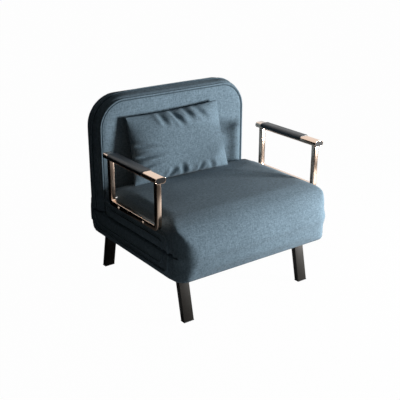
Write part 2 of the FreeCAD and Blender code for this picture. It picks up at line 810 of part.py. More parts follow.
def arm_rods(name, start, end, radius):
    """Rods along X at the arm bolts of both sides."""
    return both_sides(name, [rod("%s_%s" % (name, place), "x", (place, "arm_bolt_height"), start, end, radius)
                             for place in ("arm_bolt_front", "arm_bolt_rear")])


def stop_rods(name, radius):
    return both_sides(name, [rod(name + "_rod", "x", ("stop_pin_y", "stop_pin_height"),
                                 "strip_inner - stop_pin_length", "strip_inner", radius)])


spacer_room = arm_rods("spacer_room", "seat_frame_half", "strip_inner", "spacer_radius + hole_clearance")
stop_room = stop_rods("stop_room", "stop_pin_radius + hole_clearance")
arm_bores = arm_rods("arm_bores", "seat_frame_half - arm_bolt_grip", "strip_outer + 1",
                     "arm_bolt_radius + hole_clearance")

keep("seat_frame", cut("seat_frame_bored", tube_frame("seat_frame_tubes", SEAT_TUBES), [arm_bores]))
springs("seat_springs", "frame_front + seat_tube", "seat_frame_rear - seat_tube", 0, {"z": "arm_bolt_height"})

WIRES_LEFT = "-2 * spring_pitch - spring_half - wire_room"
WIRES_RIGHT = "2 * spring_pitch + spring_half + wire_room"
seat_rooms = [
    tube_room("seat_tube_room", SEAT_TUBES),
    box("seat_wire_room", WIRES_LEFT, WIRES_RIGHT, "frame_front + seat_tube", "seat_frame_rear - seat_tube",
        "arm_bolt_height - wire_room", "arm_bolt_height + wire_room"),
    seat_leaf_room, knuckle_space, spacer_room, stop_room,
]
seat_core = seat_block("seat_core", "cover_wall + piece_gap")
for word, low, high in (("under", "arm_bolt_height", "seat_crown + 1"), ("top", "seat_low - 1", "arm_bolt_height")):
    other = box("seat_%s_other" % word, "-half", "half", "nose", "seat_rear", low, high)
    keep("seat_%s_foam" % word, cut("seat_%s_foam_cut" % word, seat_core, [other] + seat_rooms))
seat_shell = cut("seat_shell", seat_block("seat_outer", "0"), [seat_block("seat_inner", "cover_wall")])
keep("seat_cover", cut("seat_cover_cut", seat_shell, [seat_leaf_room, knuckle_space, spacer_room, stop_room]))


# Armrests: a bent bar, an oval rail on top of it, a pad, end caps and fasteners

def arm_outline(wall):
    """The U of the bar from the side, less a wall."""
    front = "arm_front + %s" % wall
    rear = "arm_rear - %s" % wall
    low = "arm_bottom + %s" % wall
    inner_front = "arm_front + strip_depth - %s" % wall
    inner_rear = "arm_rear - strip_depth + %s" % wall
    inner_low = "arm_bottom + strip_depth - %s" % wall
    outer_bend = "strip_bend - %s" % wall
    inner_bend = "strip_bend - strip_depth + %s" % wall
    return [(front, "rail_low"), (front, low, outer_bend), (rear, low, outer_bend), (rear, "rail_low"),
            (inner_rear, "rail_low"), (inner_rear, inner_low, inner_bend),
            (inner_front, inner_low, inner_bend), (inner_front, "rail_low")]


def oval(name, margin, start, end):
    """The rail's section along Y, grown by a margin."""
    core = "(rail_width - rail_height) / 2"
    pieces = [box(name + "_core", "strip_middle - " + core, "strip_middle + " + core, start, end,
                  "rail_low - (%s)" % margin, "rail_top + (%s)" % margin)]
    for order, sign in enumerate("-+"):
        pieces.append(rod("%s_side%d" % (name, order), "y", ("strip_middle %s %s" % (sign, core), "rail_middle"),
                          start, end, "rail_height / 2 + (%s)" % margin))
    return fused(name, pieces)


arm_bar = prism("arm_bar", "x", arm_outline("0"), "strip_inner", "strip_outer")
arm_hollow = prism("arm_hollow", "x", arm_outline("strip_wall"), "strip_inner + strip_wall",
                   "strip_outer - strip_wall")
arm_frame = cut("arm_frame", arm_bar, [arm_hollow, arm_bores])
rail = cut("rail", oval("rail_outer", "0", "rail_front", "rail_rear"),
           [oval("rail_inner", "-rail_wall", "rail_front - 1", "rail_rear + 1")])
pad = cut("pad", oval("pad_outer", "pad_wall", "pad_front", "pad_rear"), [
    oval("pad_inner", "0", "pad_front - 1", "pad_rear + 1"),
    box("pad_below", "strip_middle - rail_width", "strip_middle + rail_width", "pad_front - 1", "pad_rear + 1",
        "rail_low - rail_height", "rail_top - pad_skirt"),
])
for name, piece in (("arm_frame", arm_frame), ("arm_rail", rail), ("arm_pad", pad)):
    keep("right_" + name, piece)
    keep("left_" + name, mirrored(name + "_left", piece))

PLUG = "-rail_wall - cap_gap"
keep("rail_end_caps", both_sides("cap_set", [
    oval("front_cap", PLUG, "rail_front + cap_recess", "rail_front + cap_recess + cap_length"),
    oval("rear_cap", PLUG, "rail_rear - cap_recess - cap_length", "rail_rear - cap_recess"),
]))
keep("arm_spacers", cut("spacers_bored", arm_rods("spacer_set", "seat_frame_half", "strip_inner", "spacer_radius"),
                        [arm_bores]))
keep("arm_bolts", fused("arm_bolt_set", [
    arm_rods("arm_bolt_shanks", "seat_frame_half - arm_bolt_grip", "strip_outer", "arm_bolt_radius"),
    arm_rods("arm_bolt_heads", "strip_outer", "strip_outer + arm_bolt_crown", "arm_bolt_head"),
]))
keep("arm_stop_pins", stop_rods("stop_pins", "stop_pin_radius"))


# Backrest: frame with posts for the head leg, springs, two foams and cover

def post_rods(name, start, end, radius):
    """Rods along Y at the screws of the head leg's brackets."""
    return both_sides(name, [rod("%s_%d" % (name, order), "y", ("head_leg_x %s post_spread" % sign, "head_pivot_z"),
                                 start, end, radius) for order, sign in enumerate("-+")])


screw_bores = post_rods("screw_bores", "back_rear - bracket_screw_depth - 1", "back_rear + ear_plate + 1",
                        "bracket_screw_radius + hole_clearance")
posts = post_rods("posts", "back_middle + back_tube / 2", "back_rear", "post_radius")
post_room = post_rods("post_room", "back_middle", "back_rear + 1", "post_radius + hole_clearance")
keep("back_frame", cut("back_frame_bored", fused("back_frame_whole", [
    tube_frame("back_frame_tubes", BACK_TUBES), posts]), [screw_bores]))
springs("back_springs", "back_frame_bar + back_tube", "back_frame_top - back_tube", 90, {"y": "back_middle"})

back_rooms = [
    tube_room("back_tube_room", BACK_TUBES),
    box("back_wire_room", WIRES_LEFT, WIRES_RIGHT, "back_middle - wire_room", "back_middle + wire_room",
        "back_frame_bar + back_tube", "back_frame_top - back_tube"),
    tail_room, post_room,
]
back_core = back_block("back_core", "cover_wall + piece_gap")
for word, front, rear in (("front", "back_middle", "back_rear + 1"), ("rear", "back_front - 1", "back_middle")):
    other = box("back_%s_other" % word, "-half", "half", front, rear, "recline_z", "back_top + 1")
    keep("back_%s_foam" % word, cut("back_%s_foam_cut" % word, back_core, [other] + back_rooms))
back_shell = cut("back_shell", back_block("back_outer", "0"), [back_block("back_inner", "cover_wall")])
keep("back_cover", cut("back_cover_cut", back_shell, [tail_room, post_room]))


# Head leg: a bent tube that folds out behind the backrest

HEAD_PIVOT = ("head_pivot_y", "head_pivot_z")


def head_tube(name, radius):
    side = number("head_leg_x")
    depth = number("head_pivot_y")
    top = number("head_pivot_z")
    low = number("head_bar_z")
    points = [Vector(-side, depth, top), Vector(-side, depth, low), Vector(side, depth, low),
              Vector(side, depth, top)]
    return fixed(name, pipe(points, number("head_bend"), number(radius)))


def head_rods(name, reach, radius):
    """Rods along X through both head pivots."""
    return both_sides(name, [rod(name + "_rod", "x", HEAD_PIVOT, "head_leg_x - %s" % reach,
                                 "head_leg_x + %s" % reach, radius)])


head_walls = cut("head_walls", head_tube("head_tube_outer", "head_tube_radius"),
                 [head_tube("head_tube_inner", "head_tube_radius - head_tube_wall")])
head_eyes = head_rods("head_eyes", "head_tube_radius", "head_boss")
head_bores = head_rods("head_bores", "(ear_outer + 1)", "head_pin_radius + running_gap")
keep("head_leg", cut("head_leg_bored", fused("head_leg_whole", [head_walls, head_eyes]), [head_bores]))
keep("head_leg_pins", head_rods("head_pins", "(ear_outer + head_pin_end)", "head_pin_radius"))

ears = [box("ear_base", "head_leg_x - ear_plate_half", "head_leg_x + ear_plate_half", "back_rear",
            "back_rear + ear_plate", "head_pivot_z - ear_plate_rise", "head_pivot_z + ear_plate_rise")]
for order, (left, right) in enumerate((
        ("head_leg_x - ear_outer", "head_leg_x - ear_inner"), ("head_leg_x + ear_inner", "head_leg_x + ear_outer"))):
    ears.append(box("ear_web%d" % order, left, right, "back_rear", "head_pivot_y",
                    "head_pivot_z - head_boss", "head_pivot_z + head_boss"))
    ears.append(rod("ear_eye%d" % order, "x", HEAD_PIVOT, left, right, "head_boss"))
ear_bores = head_rods("ear_bores", "(ear_outer + 1)", "head_pin_radius")
head_bracket = fused("head_bracket", ears)
keep("head_leg_brackets", cut("head_brackets_bored", both_sides("head_brackets", [head_bracket]),
                              [ear_bores, screw_bores]))
keep("bracket_screws", fused("bracket_screw_set", [
    post_rods("screw_shanks", "back_rear - bracket_screw_depth", "back_rear + ear_plate", "bracket_screw_radius"),
    post_rods("screw_heads", "back_rear + ear_plate", "back_rear + ear_plate + bracket_screw_crown",
              "bracket_screw_head"),
]))
head_bar = ("head_pivot_y", "head_bar_z")
sleeve = cut("sleeve", rod("sleeve_outer", "x", head_bar, "sleeve_x", "sleeve_x + sleeve_length", "sleeve_radius"),
             [rod("sleeve_inner", "x", head_bar, "sleeve_x - 1", "sleeve_x + sleeve_length + 1",
                  "head_tube_radius")])
keep("head_leg_sleeves", both_sides("sleeve_set", [sleeve]))


# Lumbar pillow: a plain lens that leans against the backrest

keep("lumbar_pillow", prism("pillow", "x", [
    ("pillow_rear - pillow_lean", "pillow_low", "pillow_tip"),
    ("pillow_rear", "pillow_low + pillow_lean * 2", "pillow_belly"),
    ("pillow_rear", "pillow_high", "pillow_tip"),
    ("pillow_rear - pillow_thickness", "(pillow_low + pillow_high) / 2", "pillow_belly"),
], "pillow_middle - pillow_width / 2", "pillow_middle + pillow_width / 2"))


# Checks and files

doc.recompute()
faults = []
for item in doc.Objects:
    if "Invalid" in item.State or "Error" in item.State:
        faults.append("%s: %s" % (item.Name, item.State))
for name, feature in nodes.items():
    shape = feature.Shape
    if shape.isNull() or not shape.isValid() or not shape.Solids:
        faults.append(name + ": no valid solid")
if faults:
    raise RuntimeError("; ".join(faults))

os.makedirs("parts", exist_ok=True)
for name, feature in nodes.items():
    feature.Shape.exportStep("parts/%s.step" % name)
print(len(nodes), "pieces")
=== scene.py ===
"""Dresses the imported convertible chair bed: upholstery, pillow, arms, legs, finishes and stage."""

import json
import math

import bmesh
import bpy
from bpy.props import FloatProperty, FloatVectorProperty, IntProperty, PointerProperty
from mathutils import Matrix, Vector

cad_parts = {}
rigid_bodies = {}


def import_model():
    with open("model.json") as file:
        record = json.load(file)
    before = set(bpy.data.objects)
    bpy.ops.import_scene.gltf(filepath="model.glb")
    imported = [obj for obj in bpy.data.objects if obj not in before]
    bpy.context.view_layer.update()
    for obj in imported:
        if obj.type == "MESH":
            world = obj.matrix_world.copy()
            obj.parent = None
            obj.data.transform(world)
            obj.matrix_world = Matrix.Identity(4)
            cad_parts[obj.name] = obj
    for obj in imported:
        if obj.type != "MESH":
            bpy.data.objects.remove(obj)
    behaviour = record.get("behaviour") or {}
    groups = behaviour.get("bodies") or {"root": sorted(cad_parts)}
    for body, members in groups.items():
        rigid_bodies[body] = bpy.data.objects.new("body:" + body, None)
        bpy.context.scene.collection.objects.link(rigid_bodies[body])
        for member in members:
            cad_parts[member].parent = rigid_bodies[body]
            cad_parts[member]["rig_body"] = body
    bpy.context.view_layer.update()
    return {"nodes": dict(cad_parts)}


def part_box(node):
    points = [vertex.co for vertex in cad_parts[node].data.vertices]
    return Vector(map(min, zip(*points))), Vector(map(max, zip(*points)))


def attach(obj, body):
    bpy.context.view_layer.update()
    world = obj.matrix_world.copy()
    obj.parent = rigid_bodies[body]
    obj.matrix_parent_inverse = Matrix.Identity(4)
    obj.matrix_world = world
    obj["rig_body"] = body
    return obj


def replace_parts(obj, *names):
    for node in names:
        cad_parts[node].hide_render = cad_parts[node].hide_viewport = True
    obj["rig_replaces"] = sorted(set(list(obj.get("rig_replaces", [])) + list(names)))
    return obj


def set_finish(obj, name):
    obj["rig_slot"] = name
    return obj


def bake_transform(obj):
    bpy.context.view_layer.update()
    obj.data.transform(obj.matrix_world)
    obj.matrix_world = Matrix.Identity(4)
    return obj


bl_info = {
    "name": "Convertible Chair Bed",
    "version": (1, 0, 0),
    "blender": (4, 5, 0),
    "location": "View3D > Sidebar > Chair Bed",
    "description": "Upholstery, arms, legs and finishes of a folding chair bed",
    "category": "Add Mesh",
}

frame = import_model()
NODES = frame["nodes"]

SIDES = (("left", -1), ("right", 1))
BASE_LOW, BASE_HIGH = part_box("base_cover")
SEAT_LOW, SEAT_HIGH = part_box("seat_cover")
BACK_LOW, BACK_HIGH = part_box("back_cover")
HALF = BASE_HIGH.x
NOSE = BASE_LOW.y
SPLIT = (BASE_HIGH.z + SEAT_LOW.z) / 2
RECLINE = (0.286, 0.246)  # depth and height of the backrest's hinge line

# Shared sizes of the padded blocks
START_WALL = 0.002  # a block starts this far inside its cushion
LEAST_RISE = 0.0015  # each of its points moves out by at least this
PLAN_CORNER = 0.08  # round of the front corners, seen from above
SHOULDER = 0.13  # round of the backrest's upper corners
SPLIT_GAP = 0.0006  # kept free on each side of the split
SEAT_REAR, BACK_FRONT, PILLOW_REAR = 0.2315, 0.2316, 0.2300


# Settings

class ChairBedFabric(bpy.types.PropertyGroup):
    """Colours and making of the upholstery."""
    light_thread: FloatVectorProperty(
        name="Light thread", description="Paler of the two threads", subtype="COLOR",
        size=4, min=0, max=1, default=(0.215, 0.300, 0.365, 1))
    dark_thread: FloatVectorProperty(
        name="Dark thread", description="Darker of the two threads", subtype="COLOR",
        size=4, min=0, max=1, default=(0.085, 0.128, 0.160, 1))
    voxel: FloatProperty(
        name="Remesh size", description="Mesh size of the padded blocks before the cloth step",
        default=0.008, min=0.004, max=0.02, unit="LENGTH")
    swell: FloatProperty(
        name="Swell", description="How far the padding may push the cover out",
        default=0.008, min=0, max=0.02, unit="LENGTH")
    frames: IntProperty(
        name="Cloth frames", description="Steps of the cloth simulation", default=6, min=2, max=60)
    piping: FloatProperty(
        name="Piping radius", description="Radius of the corded seams", default=0.0028, min=0.001,
        max=0.006, unit="LENGTH")


class ChairBedMetal(bpy.types.PropertyGroup):
    """Colours and edges of the arms and legs."""
    rose: FloatVectorProperty(
        name="Rose gold", description="Polished arm tubes", subtype="COLOR", size=4, min=0, max=1,
        default=(0.80, 0.60, 0.47, 1))
    leg: FloatVectorProperty(
        name="Leg paint", description="Bronze-black paint of the legs", subtype="COLOR", size=4,
        min=0, max=1, default=(0.017, 0.0145, 0.0115, 1))
    pad: FloatVectorProperty(
        name="Arm pad", description="Dark cover of the arm pads", subtype="COLOR", size=4,
        min=0, max=1, default=(0.005, 0.009, 0.014, 1))
    edge: FloatProperty(
        name="Edge round", description="Rounding of the tube edges", default=0.0022, min=0.0005,
        max=0.005, unit="LENGTH")


class ChairBedLight(bpy.types.PropertyGroup):
    """Strength of the studio light."""
    key: FloatProperty(name="Key light", description="Power of the large front light", default=68, min=0)
    fill: FloatProperty(name="Fill light", description="Power of the light from above", default=1, min=0)
    world: FloatProperty(
        name="Room light", description="Level of the room around the object", default=0.05, min=0)


# Modelling helpers

def deselect():
    active = bpy.context.view_layer.objects.active
    if active and active.mode != "OBJECT":
        bpy.ops.object.mode_set(mode="OBJECT")
    bpy.ops.object.select_all(action="DESELECT")


def pick(piece):
    deselect()
    piece.select_set(True)
    bpy.context.view_layer.objects.active = piece
    return piece


def edit(piece, kind="VERT"):
    pick(piece)
    bpy.ops.object.mode_set(mode="EDIT")
    bpy.ops.mesh.select_mode(type=kind)
    bpy.ops.mesh.select_all(action="DESELECT")


def choose(piece, kind, test):
    """Selects the faces or edges that pass a test, in edit mode."""
    mesh = bmesh.from_edit_mesh(piece.data)
    chosen = 0
    for part in (mesh.faces if kind == "FACE" else mesh.edges):
        part.select_set(test(part))
        chosen += part.select
    bmesh.update_edit_mesh(piece.data)
    return chosen


def done():
    bpy.ops.object.mode_set(mode="OBJECT")


def modify(piece, kind, **facts):
    """Adds a modifier, sets it and applies it."""
    pick(piece)
    bpy.ops.object.modifier_add(type=kind)
    modifier = piece.modifiers[-1]
    for fact, value in facts.items():
        setattr(modifier, fact, value)
    bpy.ops.object.modifier_apply(modifier=modifier.name)
    return piece


def named(name):
    piece = bpy.context.view_layer.objects.active
    piece.name = name
    piece.data.name = name
    return piece


def along(axis, place, first, second):
    """A point from its place along an axis and its two other places."""
    return {"x": (place, first, second), "y": (first, place, second), "z": (first, second, place)}[axis]


def plate(name, outline, axis, low, high, segments=14):
    """A block with an outline (first, second, corner radius), extruded along an axis."""
    deselect()
    bpy.ops.mesh.primitive_circle_add(vertices=len(outline), radius=1, fill_type="NGON")
    piece = named(name)
    for vertex, point in zip(piece.data.vertices, outline):
        vertex.co = along(axis, low, point[0], point[1])
    edit(piece)
    bpy.ops.mesh.select_all(action="SELECT")
    bpy.ops.mesh.extrude_region_move(TRANSFORM_OT_translate={"value": along(axis, high - low, 0, 0)})
    bpy.ops.mesh.select_all(action="SELECT")
    bpy.ops.mesh.normals_make_consistent(inside=False)
    bpy.ops.mesh.select_mode(type="EDGE")
    count = len(outline)
    for order, point in enumerate(outline):
        if len(point) < 3:
            continue
        corner = Vector(point[:2])
        back = (Vector(outline[order - 1][:2]) - corner).normalized()
        forth = (Vector(outline[(order + 1) % count][:2]) - corner).normalized()
        reach = point[2] / math.tan(back.angle(forth) / 2)
        ends = [Vector(along(axis, place, *corner)) for place in (low, high)]

        def at_corner(edge):
            found = [vertex.co for vertex in edge.verts]
            return all(min((end - co).length for co in found) < 1e-5 for end in ends)
        if choose(piece, "EDGE", at_corner):
            bpy.ops.mesh.bevel(
                offset=reach, segments=segments, profile=0.5, affect="EDGES", clamp_overlap=False)
    done()
    return piece


def combine(piece, other, operation="INTERSECT"):
    """Keeps what two blocks share, or cuts one out of the other."""
    modify(piece, "BOOLEAN", operation=operation, object=other, solver="EXACT")
    bpy.data.objects.remove(other)
    return piece


def smooth(piece, angle=None):
    pick(piece)
    if angle is None:
        bpy.ops.object.shade_smooth()
    else:
        bpy.ops.object.shade_smooth_by_angle(angle=math.radians(angle))
    return piece


def swelled(piece, cap, limit=None, voxel=None, pressure=4.0, subdivide=True, inward=0.0, rounds=3):
    """Remeshes a padded piece, lets its filling push the cover out up to a cap, and smooths it.

    A voxel of 0 keeps the mesh. inward is how far a point may sink; below 0, it is how far it has to rise.
    """
    fabric = bpy.context.scene.chair_bed_fabric
    if voxel != 0:
        modify(piece, "REMESH", mode="VOXEL", voxel_size=voxel or fabric.voxel)
    if rounds:
        modify(piece, "SMOOTH", factor=0.5, iterations=rounds)
    before = [vertex.co.copy() for vertex in piece.data.vertices]
    normals = [vertex.normal.copy() for vertex in piece.data.vertices]
    pick(piece)
    bpy.ops.object.modifier_add(type="CLOTH")
    cloth = piece.modifiers[-1]
    cloth.settings.quality = 4
    cloth.settings.use_pressure = True
    cloth.settings.uniform_pressure_force = pressure
    cloth.settings.effector_weights.gravity = 0
    cloth.settings.bending_stiffness = 0.6
    cloth.point_cache.frame_end = fabric.frames
    for step in range(1, fabric.frames + 1):
        bpy.context.scene.frame_set(step)
    bpy.ops.object.modifier_apply(modifier=cloth.name)
    bpy.context.scene.frame_set(1)
    for vertex, place, normal in zip(piece.data.vertices, before, normals):
        move = vertex.co - place
        sunk = move.dot(normal) + inward
        if sunk < 0:
            move -= normal * sunk
            vertex.co = place + move
        if move.length > cap:
            vertex.co = place + move * (cap / move.length)
        if limit:
            vertex.co = limit(vertex.co)
    piece.data.update()
    if subdivide:
        modify(piece, "SUBSURF", levels=1, render_levels=1)
    return smooth(piece)


def dressed(piece, material, slot):
    piece.data.materials.clear()
    piece.data.materials.append(material)
    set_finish(piece, slot)
    return piece


def rounded(points, steps=10):
    """A path through corners, each rounded by the radius that it carries."""
    path = []
    for order, (point, radius) in enumerate(points):
        point = Vector(point)
        if radius == 0 or order in (0, len(points) - 1):
            path.append(point)
            continue
        back = (Vector(points[order - 1][0]) - point).normalized()
        forth = (Vector(points[order + 1][0]) - point).normalized()
        half_angle = back.angle(forth) / 2
        centre = point + (back + forth).normalized() * (radius / math.sin(half_angle))
        start = point + back * (radius / math.tan(half_angle)) - centre
        end = point + forth * (radius / math.tan(half_angle)) - centre
        for step in range(steps + 1):
            turn = start.lerp(end, step / steps)
            path.append(centre + turn.normalized() * radius)
    return path


def divided(path, longest=0.02):
    """The same path with points close enough to follow a curved surface."""
    points = [path[0]]
    for start, end in zip(path, path[1:]):
        parts = max(1, math.ceil((end - start).length / longest))
        points += [start.lerp(end, (part + 1) / parts) for part in range(parts)]
    return points


def cord_seam(name, path, radius, carrier, sunk=0.3):
    """A corded seam: a thin round cord laid on its cushion along a path, made a mesh."""
    laid = []
    for place in path:
        _, point, normal, _ = carrier.closest_point_on_mesh(place)
        laid.append(point + normal * radius * (1 - 2 * sunk))
    deselect()
    bpy.ops.curve.primitive_nurbs_path_add()
    piece = named(name)
    curve = piece.data
    curve.splines.clear()
    spline = curve.splines.new("POLY")
    spline.points.add(len(laid) - 1)
    for point, place in zip(spline.points, laid):
        point.co = (*place, 1)
    curve.bevel_depth = radius
    curve.bevel_resolution = 3
    curve.use_fill_caps = True
    pick(piece)
    bpy.ops.object.convert(target="MESH")
    return smooth(bpy.context.view_layer.objects.active)


# Materials

def put(tree, kind, sockets=None, **facts):
    """Adds a node; a socket takes a value or a link."""
    node = tree.nodes.new(kind)
    for fact, value in facts.items():
        setattr(node, fact, value)
    for name, value in (sockets or {}).items():
        if isinstance(value, bpy.types.NodeSocket):
            tree.links.new(value, node.inputs[name])
        else:
            node.inputs[name].default_value = value
    return node


def group(name, inputs, outputs):
    """A new node group with its inputs and outputs."""
    tree = bpy.data.node_groups.new(name, "ShaderNodeTree")
    for label, kind, default in inputs:
        socket = tree.interface.new_socket(name=label, in_out="INPUT", socket_type=kind)
        if default is not None:
            socket.default_value = default
    for label, kind in outputs:
        tree.interface.new_socket(name=label, in_out="OUTPUT", socket_type=kind)
    return tree, tree.nodes.new("NodeGroupInput").outputs, tree.nodes.new("NodeGroupOutput").inputs


def noise(tree, vector, scale, detail=2.0, rough=0.5, stretch=(1, 1, 1)):
    place = put(tree, "ShaderNodeMapping", {"Vector": vector, "Scale": stretch})
    return put(tree, "ShaderNodeTexNoise", {
        "Vector": place.outputs["Vector"], "Scale": scale, "Detail": detail, "Roughness": rough}).outputs["Fac"]


def spread(tree, value, low, high, first=0.0, last=1.0):
    return put(tree, "ShaderNodeMapRange", {
        "Value": value, "From Min": low, "From Max": high, "To Min": first, "To Max": last}).outputs["Result"]


def blended(tree, fac, first, second, mode="MIX"):
    node = put(tree, "ShaderNodeMix", data_type="RGBA", blend_type=mode)
    for order, value in ((0, fac), (6, first), (7, second)):
        if isinstance(value, bpy.types.NodeSocket):
            tree.links.new(value, node.inputs[order])
        else:
            node.inputs[order].default_value = value
    return node.outputs[2]


def joined(tree, first, second, operation):
    node = put(tree, "ShaderNodeMath", operation=operation)
    for order, value in enumerate((first, second)):
        if isinstance(value, bpy.types.NodeSocket):
            tree.links.new(value, node.inputs[order])
        else:
            node.inputs[order].default_value = value
    return node.outputs[0]


def weave_group():
    """Heathered cloth: slubs of two threads along and across, and the relief of the weave."""
    tree, given, out = group("Heathered weave", [
        ("Vector", "NodeSocketVector", None), ("Dark", "NodeSocketColor", None),
        ("Light", "NodeSocketColor", None), ("Contrast", "NodeSocketFloat", 1.0),
    ], [("Colour", "NodeSocketColor"), ("Height", "NodeSocketFloat"), ("Roughness", "NodeSocketFloat")])
    across = noise(tree, given["Vector"], 300, 4, 0.7, (0.22, 1, 1))
    upwards = noise(tree, given["Vector"], 300, 4, 0.7, (1, 0.35, 0.22))
    cloudy = noise(tree, given["Vector"], 120, 3, 0.65)
    wide = noise(tree, given["Vector"], 5, 2, 0.5)
    threads = joined(tree, joined(tree, across, upwards, "ADD"), joined(tree, cloudy, 0.5, "MULTIPLY"), "ADD")
    centred = joined(tree, joined(tree, threads, 1.25, "SUBTRACT"), given["Contrast"], "MULTIPLY")
    mask = spread(tree, centred, -0.33, 0.33)
    colour = blended(tree, mask, given["Dark"], given["Light"])
    shade = spread(tree, wide, 0.3, 0.7, 0.93, 1.05)
    tree.links.new(blended(tree, 1.0, colour, put(tree, "ShaderNodeCombineColor", {
        "Red": shade, "Green": shade, "Blue": shade}).outputs["Color"], "MULTIPLY"), out["Colour"])
    fine = noise(tree, given["Vector"], 900, 1, 0.5)
    tree.links.new(joined(tree, threads, joined(tree, fine, 0.5, "MULTIPLY"), "ADD"), out["Height"])
    tree.links.new(spread(tree, cloudy, 0.3, 0.7, 0.78, 0.95), out["Roughness"])
    return tree


def grain_group():
    """Fine grain and broad unevenness for painted, moulded and polished pieces."""
    tree, given, out = group("Surface grain", [
        ("Vector", "NodeSocketVector", None), ("Colour", "NodeSocketColor", None),
        ("Scale", "NodeSocketFloat", 300.0), ("Variation", "NodeSocketFloat", 0.1),
        ("Roughness", "NodeSocketFloat", 0.4), ("Spread", "NodeSocketFloat", 0.08),
    ], [("Colour", "NodeSocketColor"), ("Height", "NodeSocketFloat"), ("Roughness", "NodeSocketFloat")])
    fine = put(tree, "ShaderNodeTexNoise", {"Vector": given["Vector"], "Scale": given["Scale"],
                                            "Detail": 3.0}).outputs["Fac"]
    wide = noise(tree, given["Vector"], 14, 3, 0.6)
    both = joined(tree, joined(tree, fine, wide, "ADD"), 1.0, "SUBTRACT")
    level = joined(tree, joined(tree, both, given["Variation"], "MULTIPLY"), 1.0, "ADD")
    tree.links.new(blended(tree, 1.0, given["Colour"], put(tree, "ShaderNodeCombineColor", {
        "Red": level, "Green": level, "Blue": level}).outputs["Color"], "MULTIPLY"), out["Colour"])
    tree.links.new(fine, out["Height"])
    tree.links.new(joined(tree, given["Roughness"], joined(tree, both, given["Spread"], "MULTIPLY"), "ADD"),
                   out["Roughness"])
    return tree


def fresh_material(name):
    material = bpy.data.materials.new(name)
    material.use_nodes = True
    tree = material.node_tree
    shader = tree.nodes["Principled BSDF"]
    return material, tree, shader, put(tree, "ShaderNodeTexCoord").outputs["Object"]


def fabric_material(name, light, dark, contrast=1.0, bump=0.35):
    material, tree, shader, place = fresh_material(name)
    weave = put(tree, "ShaderNodeGroup", node_tree=bpy.data.node_groups["Heathered weave"])
    tree.links.new(place, weave.inputs["Vector"])
    weave.inputs["Dark"].default_value = dark
    weave.inputs["Light"].default_value = light
    weave.inputs["Contrast"].default_value = contrast
    tree.links.new(weave.outputs["Colour"], shader.inputs["Base Color"])
    tree.links.new(weave.outputs["Roughness"], shader.inputs["Roughness"])
    relief = put(tree, "ShaderNodeBump", {
        "Height": weave.outputs["Height"], "Strength": bump, "Distance": 0.0008})
    tree.links.new(relief.outputs["Normal"], shader.inputs["Normal"])
    shader.inputs["Sheen Weight"].default_value = 0.06
    shader.inputs["Sheen Roughness"].default_value = 0.5
    shader.inputs["Specular IOR Level"].default_value = 0.08
    return material


def hard_material(name, colour, metallic, roughness, scale=300.0, variation=0.1, rough_spread=0.08,
                  bump=0.1, coat=0.0):
    material, tree, shader, place = fresh_material(name)
    grain = put(tree, "ShaderNodeGroup", node_tree=bpy.data.node_groups["Surface grain"])
    tree.links.new(place, grain.inputs["Vector"])
    for label, value in (("Colour", colour), ("Scale", scale), ("Variation", variation),
                         ("Roughness", roughness), ("Spread", rough_spread)):
        grain.inputs[label].default_value = value
    tree.links.new(grain.outputs["Colour"], shader.inputs["Base Color"])
    tree.links.new(grain.outputs["Roughness"], shader.inputs["Roughness"])
    relief = put(tree, "ShaderNodeBump", {
        "Height": grain.outputs["Height"], "Strength": bump, "Distance": 0.0004})
    tree.links.new(relief.outputs["Normal"], shader.inputs["Normal"])
    shader.inputs["Metallic"].default_value = metallic
    shader.inputs["Coat Weight"].default_value = coat
    return material


def finish(name):
    return bpy.data.materials[name]


class CHAIRBED_OT_finishes(bpy.types.Operator):
    """Makes the procedural materials of the chair bed"""
    bl_idname = "chair_bed.finishes"
    bl_label = "Finishes"

    def execute(self, context):
        fabric = context.scene.chair_bed_fabric
        metal = context.scene.chair_bed_metal
        weave_group()
        grain_group()
        fabric_material("slate linen", fabric.light_thread, fabric.dark_thread)
        # a darker cloth for the thin cords that paint the shade in the backrest's seam grooves
        fabric_material("painted seam shadow", fabric.dark_thread, [0.6 * c for c in fabric.dark_thread[:3]] + [1], 0.7)
        fabric_material("black lining", (0.02, 0.02, 0.02, 1), (0.008, 0.008, 0.008, 1), 1.0, 0.2)
        hard_material("rose gold", metal.rose, 1.0, 0.17, 600, 0.06, 0.06, 0.02, 0.3)
        hard_material("bronze black paint", metal.leg, 0.35, 0.42, 420, 0.25, 0.15, 0.12)
        hard_material("arm pad skin", metal.pad, 0.0, 0.38, 900, 0.3, 0.2, 0.25)
        hard_material("black plastic", (0.008, 0.008, 0.009, 1), 0.0, 0.3, 700, 0.2, 0.1, 0.08)
        hard_material("black rubber", (0.012, 0.012, 0.012, 1), 0.0, 0.7, 500, 0.2, 0.1, 0.2)
        hard_material("frame paint", (0.016, 0.016, 0.017, 1), 0.1, 0.45, 450, 0.2, 0.12, 0.15)
        hard_material("zinc steel", (0.48, 0.49, 0.50, 1), 1.0, 0.36, 200, 0.18, 0.2, 0.08)
        hard_material("bright steel", (0.78, 0.77, 0.75, 1), 1.0, 0.2, 500, 0.08, 0.1, 0.04)
        hard_material("spring wire", (0.30, 0.30, 0.31, 1), 1.0, 0.4, 300, 0.15, 0.15, 0.08)
        return {"FINISHED"}


# Upholstery

def base_form(name, wall):
    nose, rear = NOSE + wall, BASE_HIGH.y - wall
    low, high, half = BASE_LOW.z + wall * 0.6, BASE_HIGH.z - 0.002, HALF - wall
    piece = plate(name, [
        (nose, high), (nose, 0.262, 0.12), (nose + 0.014, low, 0.024), (rear, low, 0.05 - wall),
        (rear, high, 0.0535 - wall)], "x", -half, half)
    plan = plate(name + "_plan", [
        (-half, nose, PLAN_CORNER - wall), (half, nose, PLAN_CORNER - wall), (half, rear, 0.012),
        (-half, rear, 0.012)],
        "z", low - 0.01, high + 0.01)
    return combine(piece, plan)


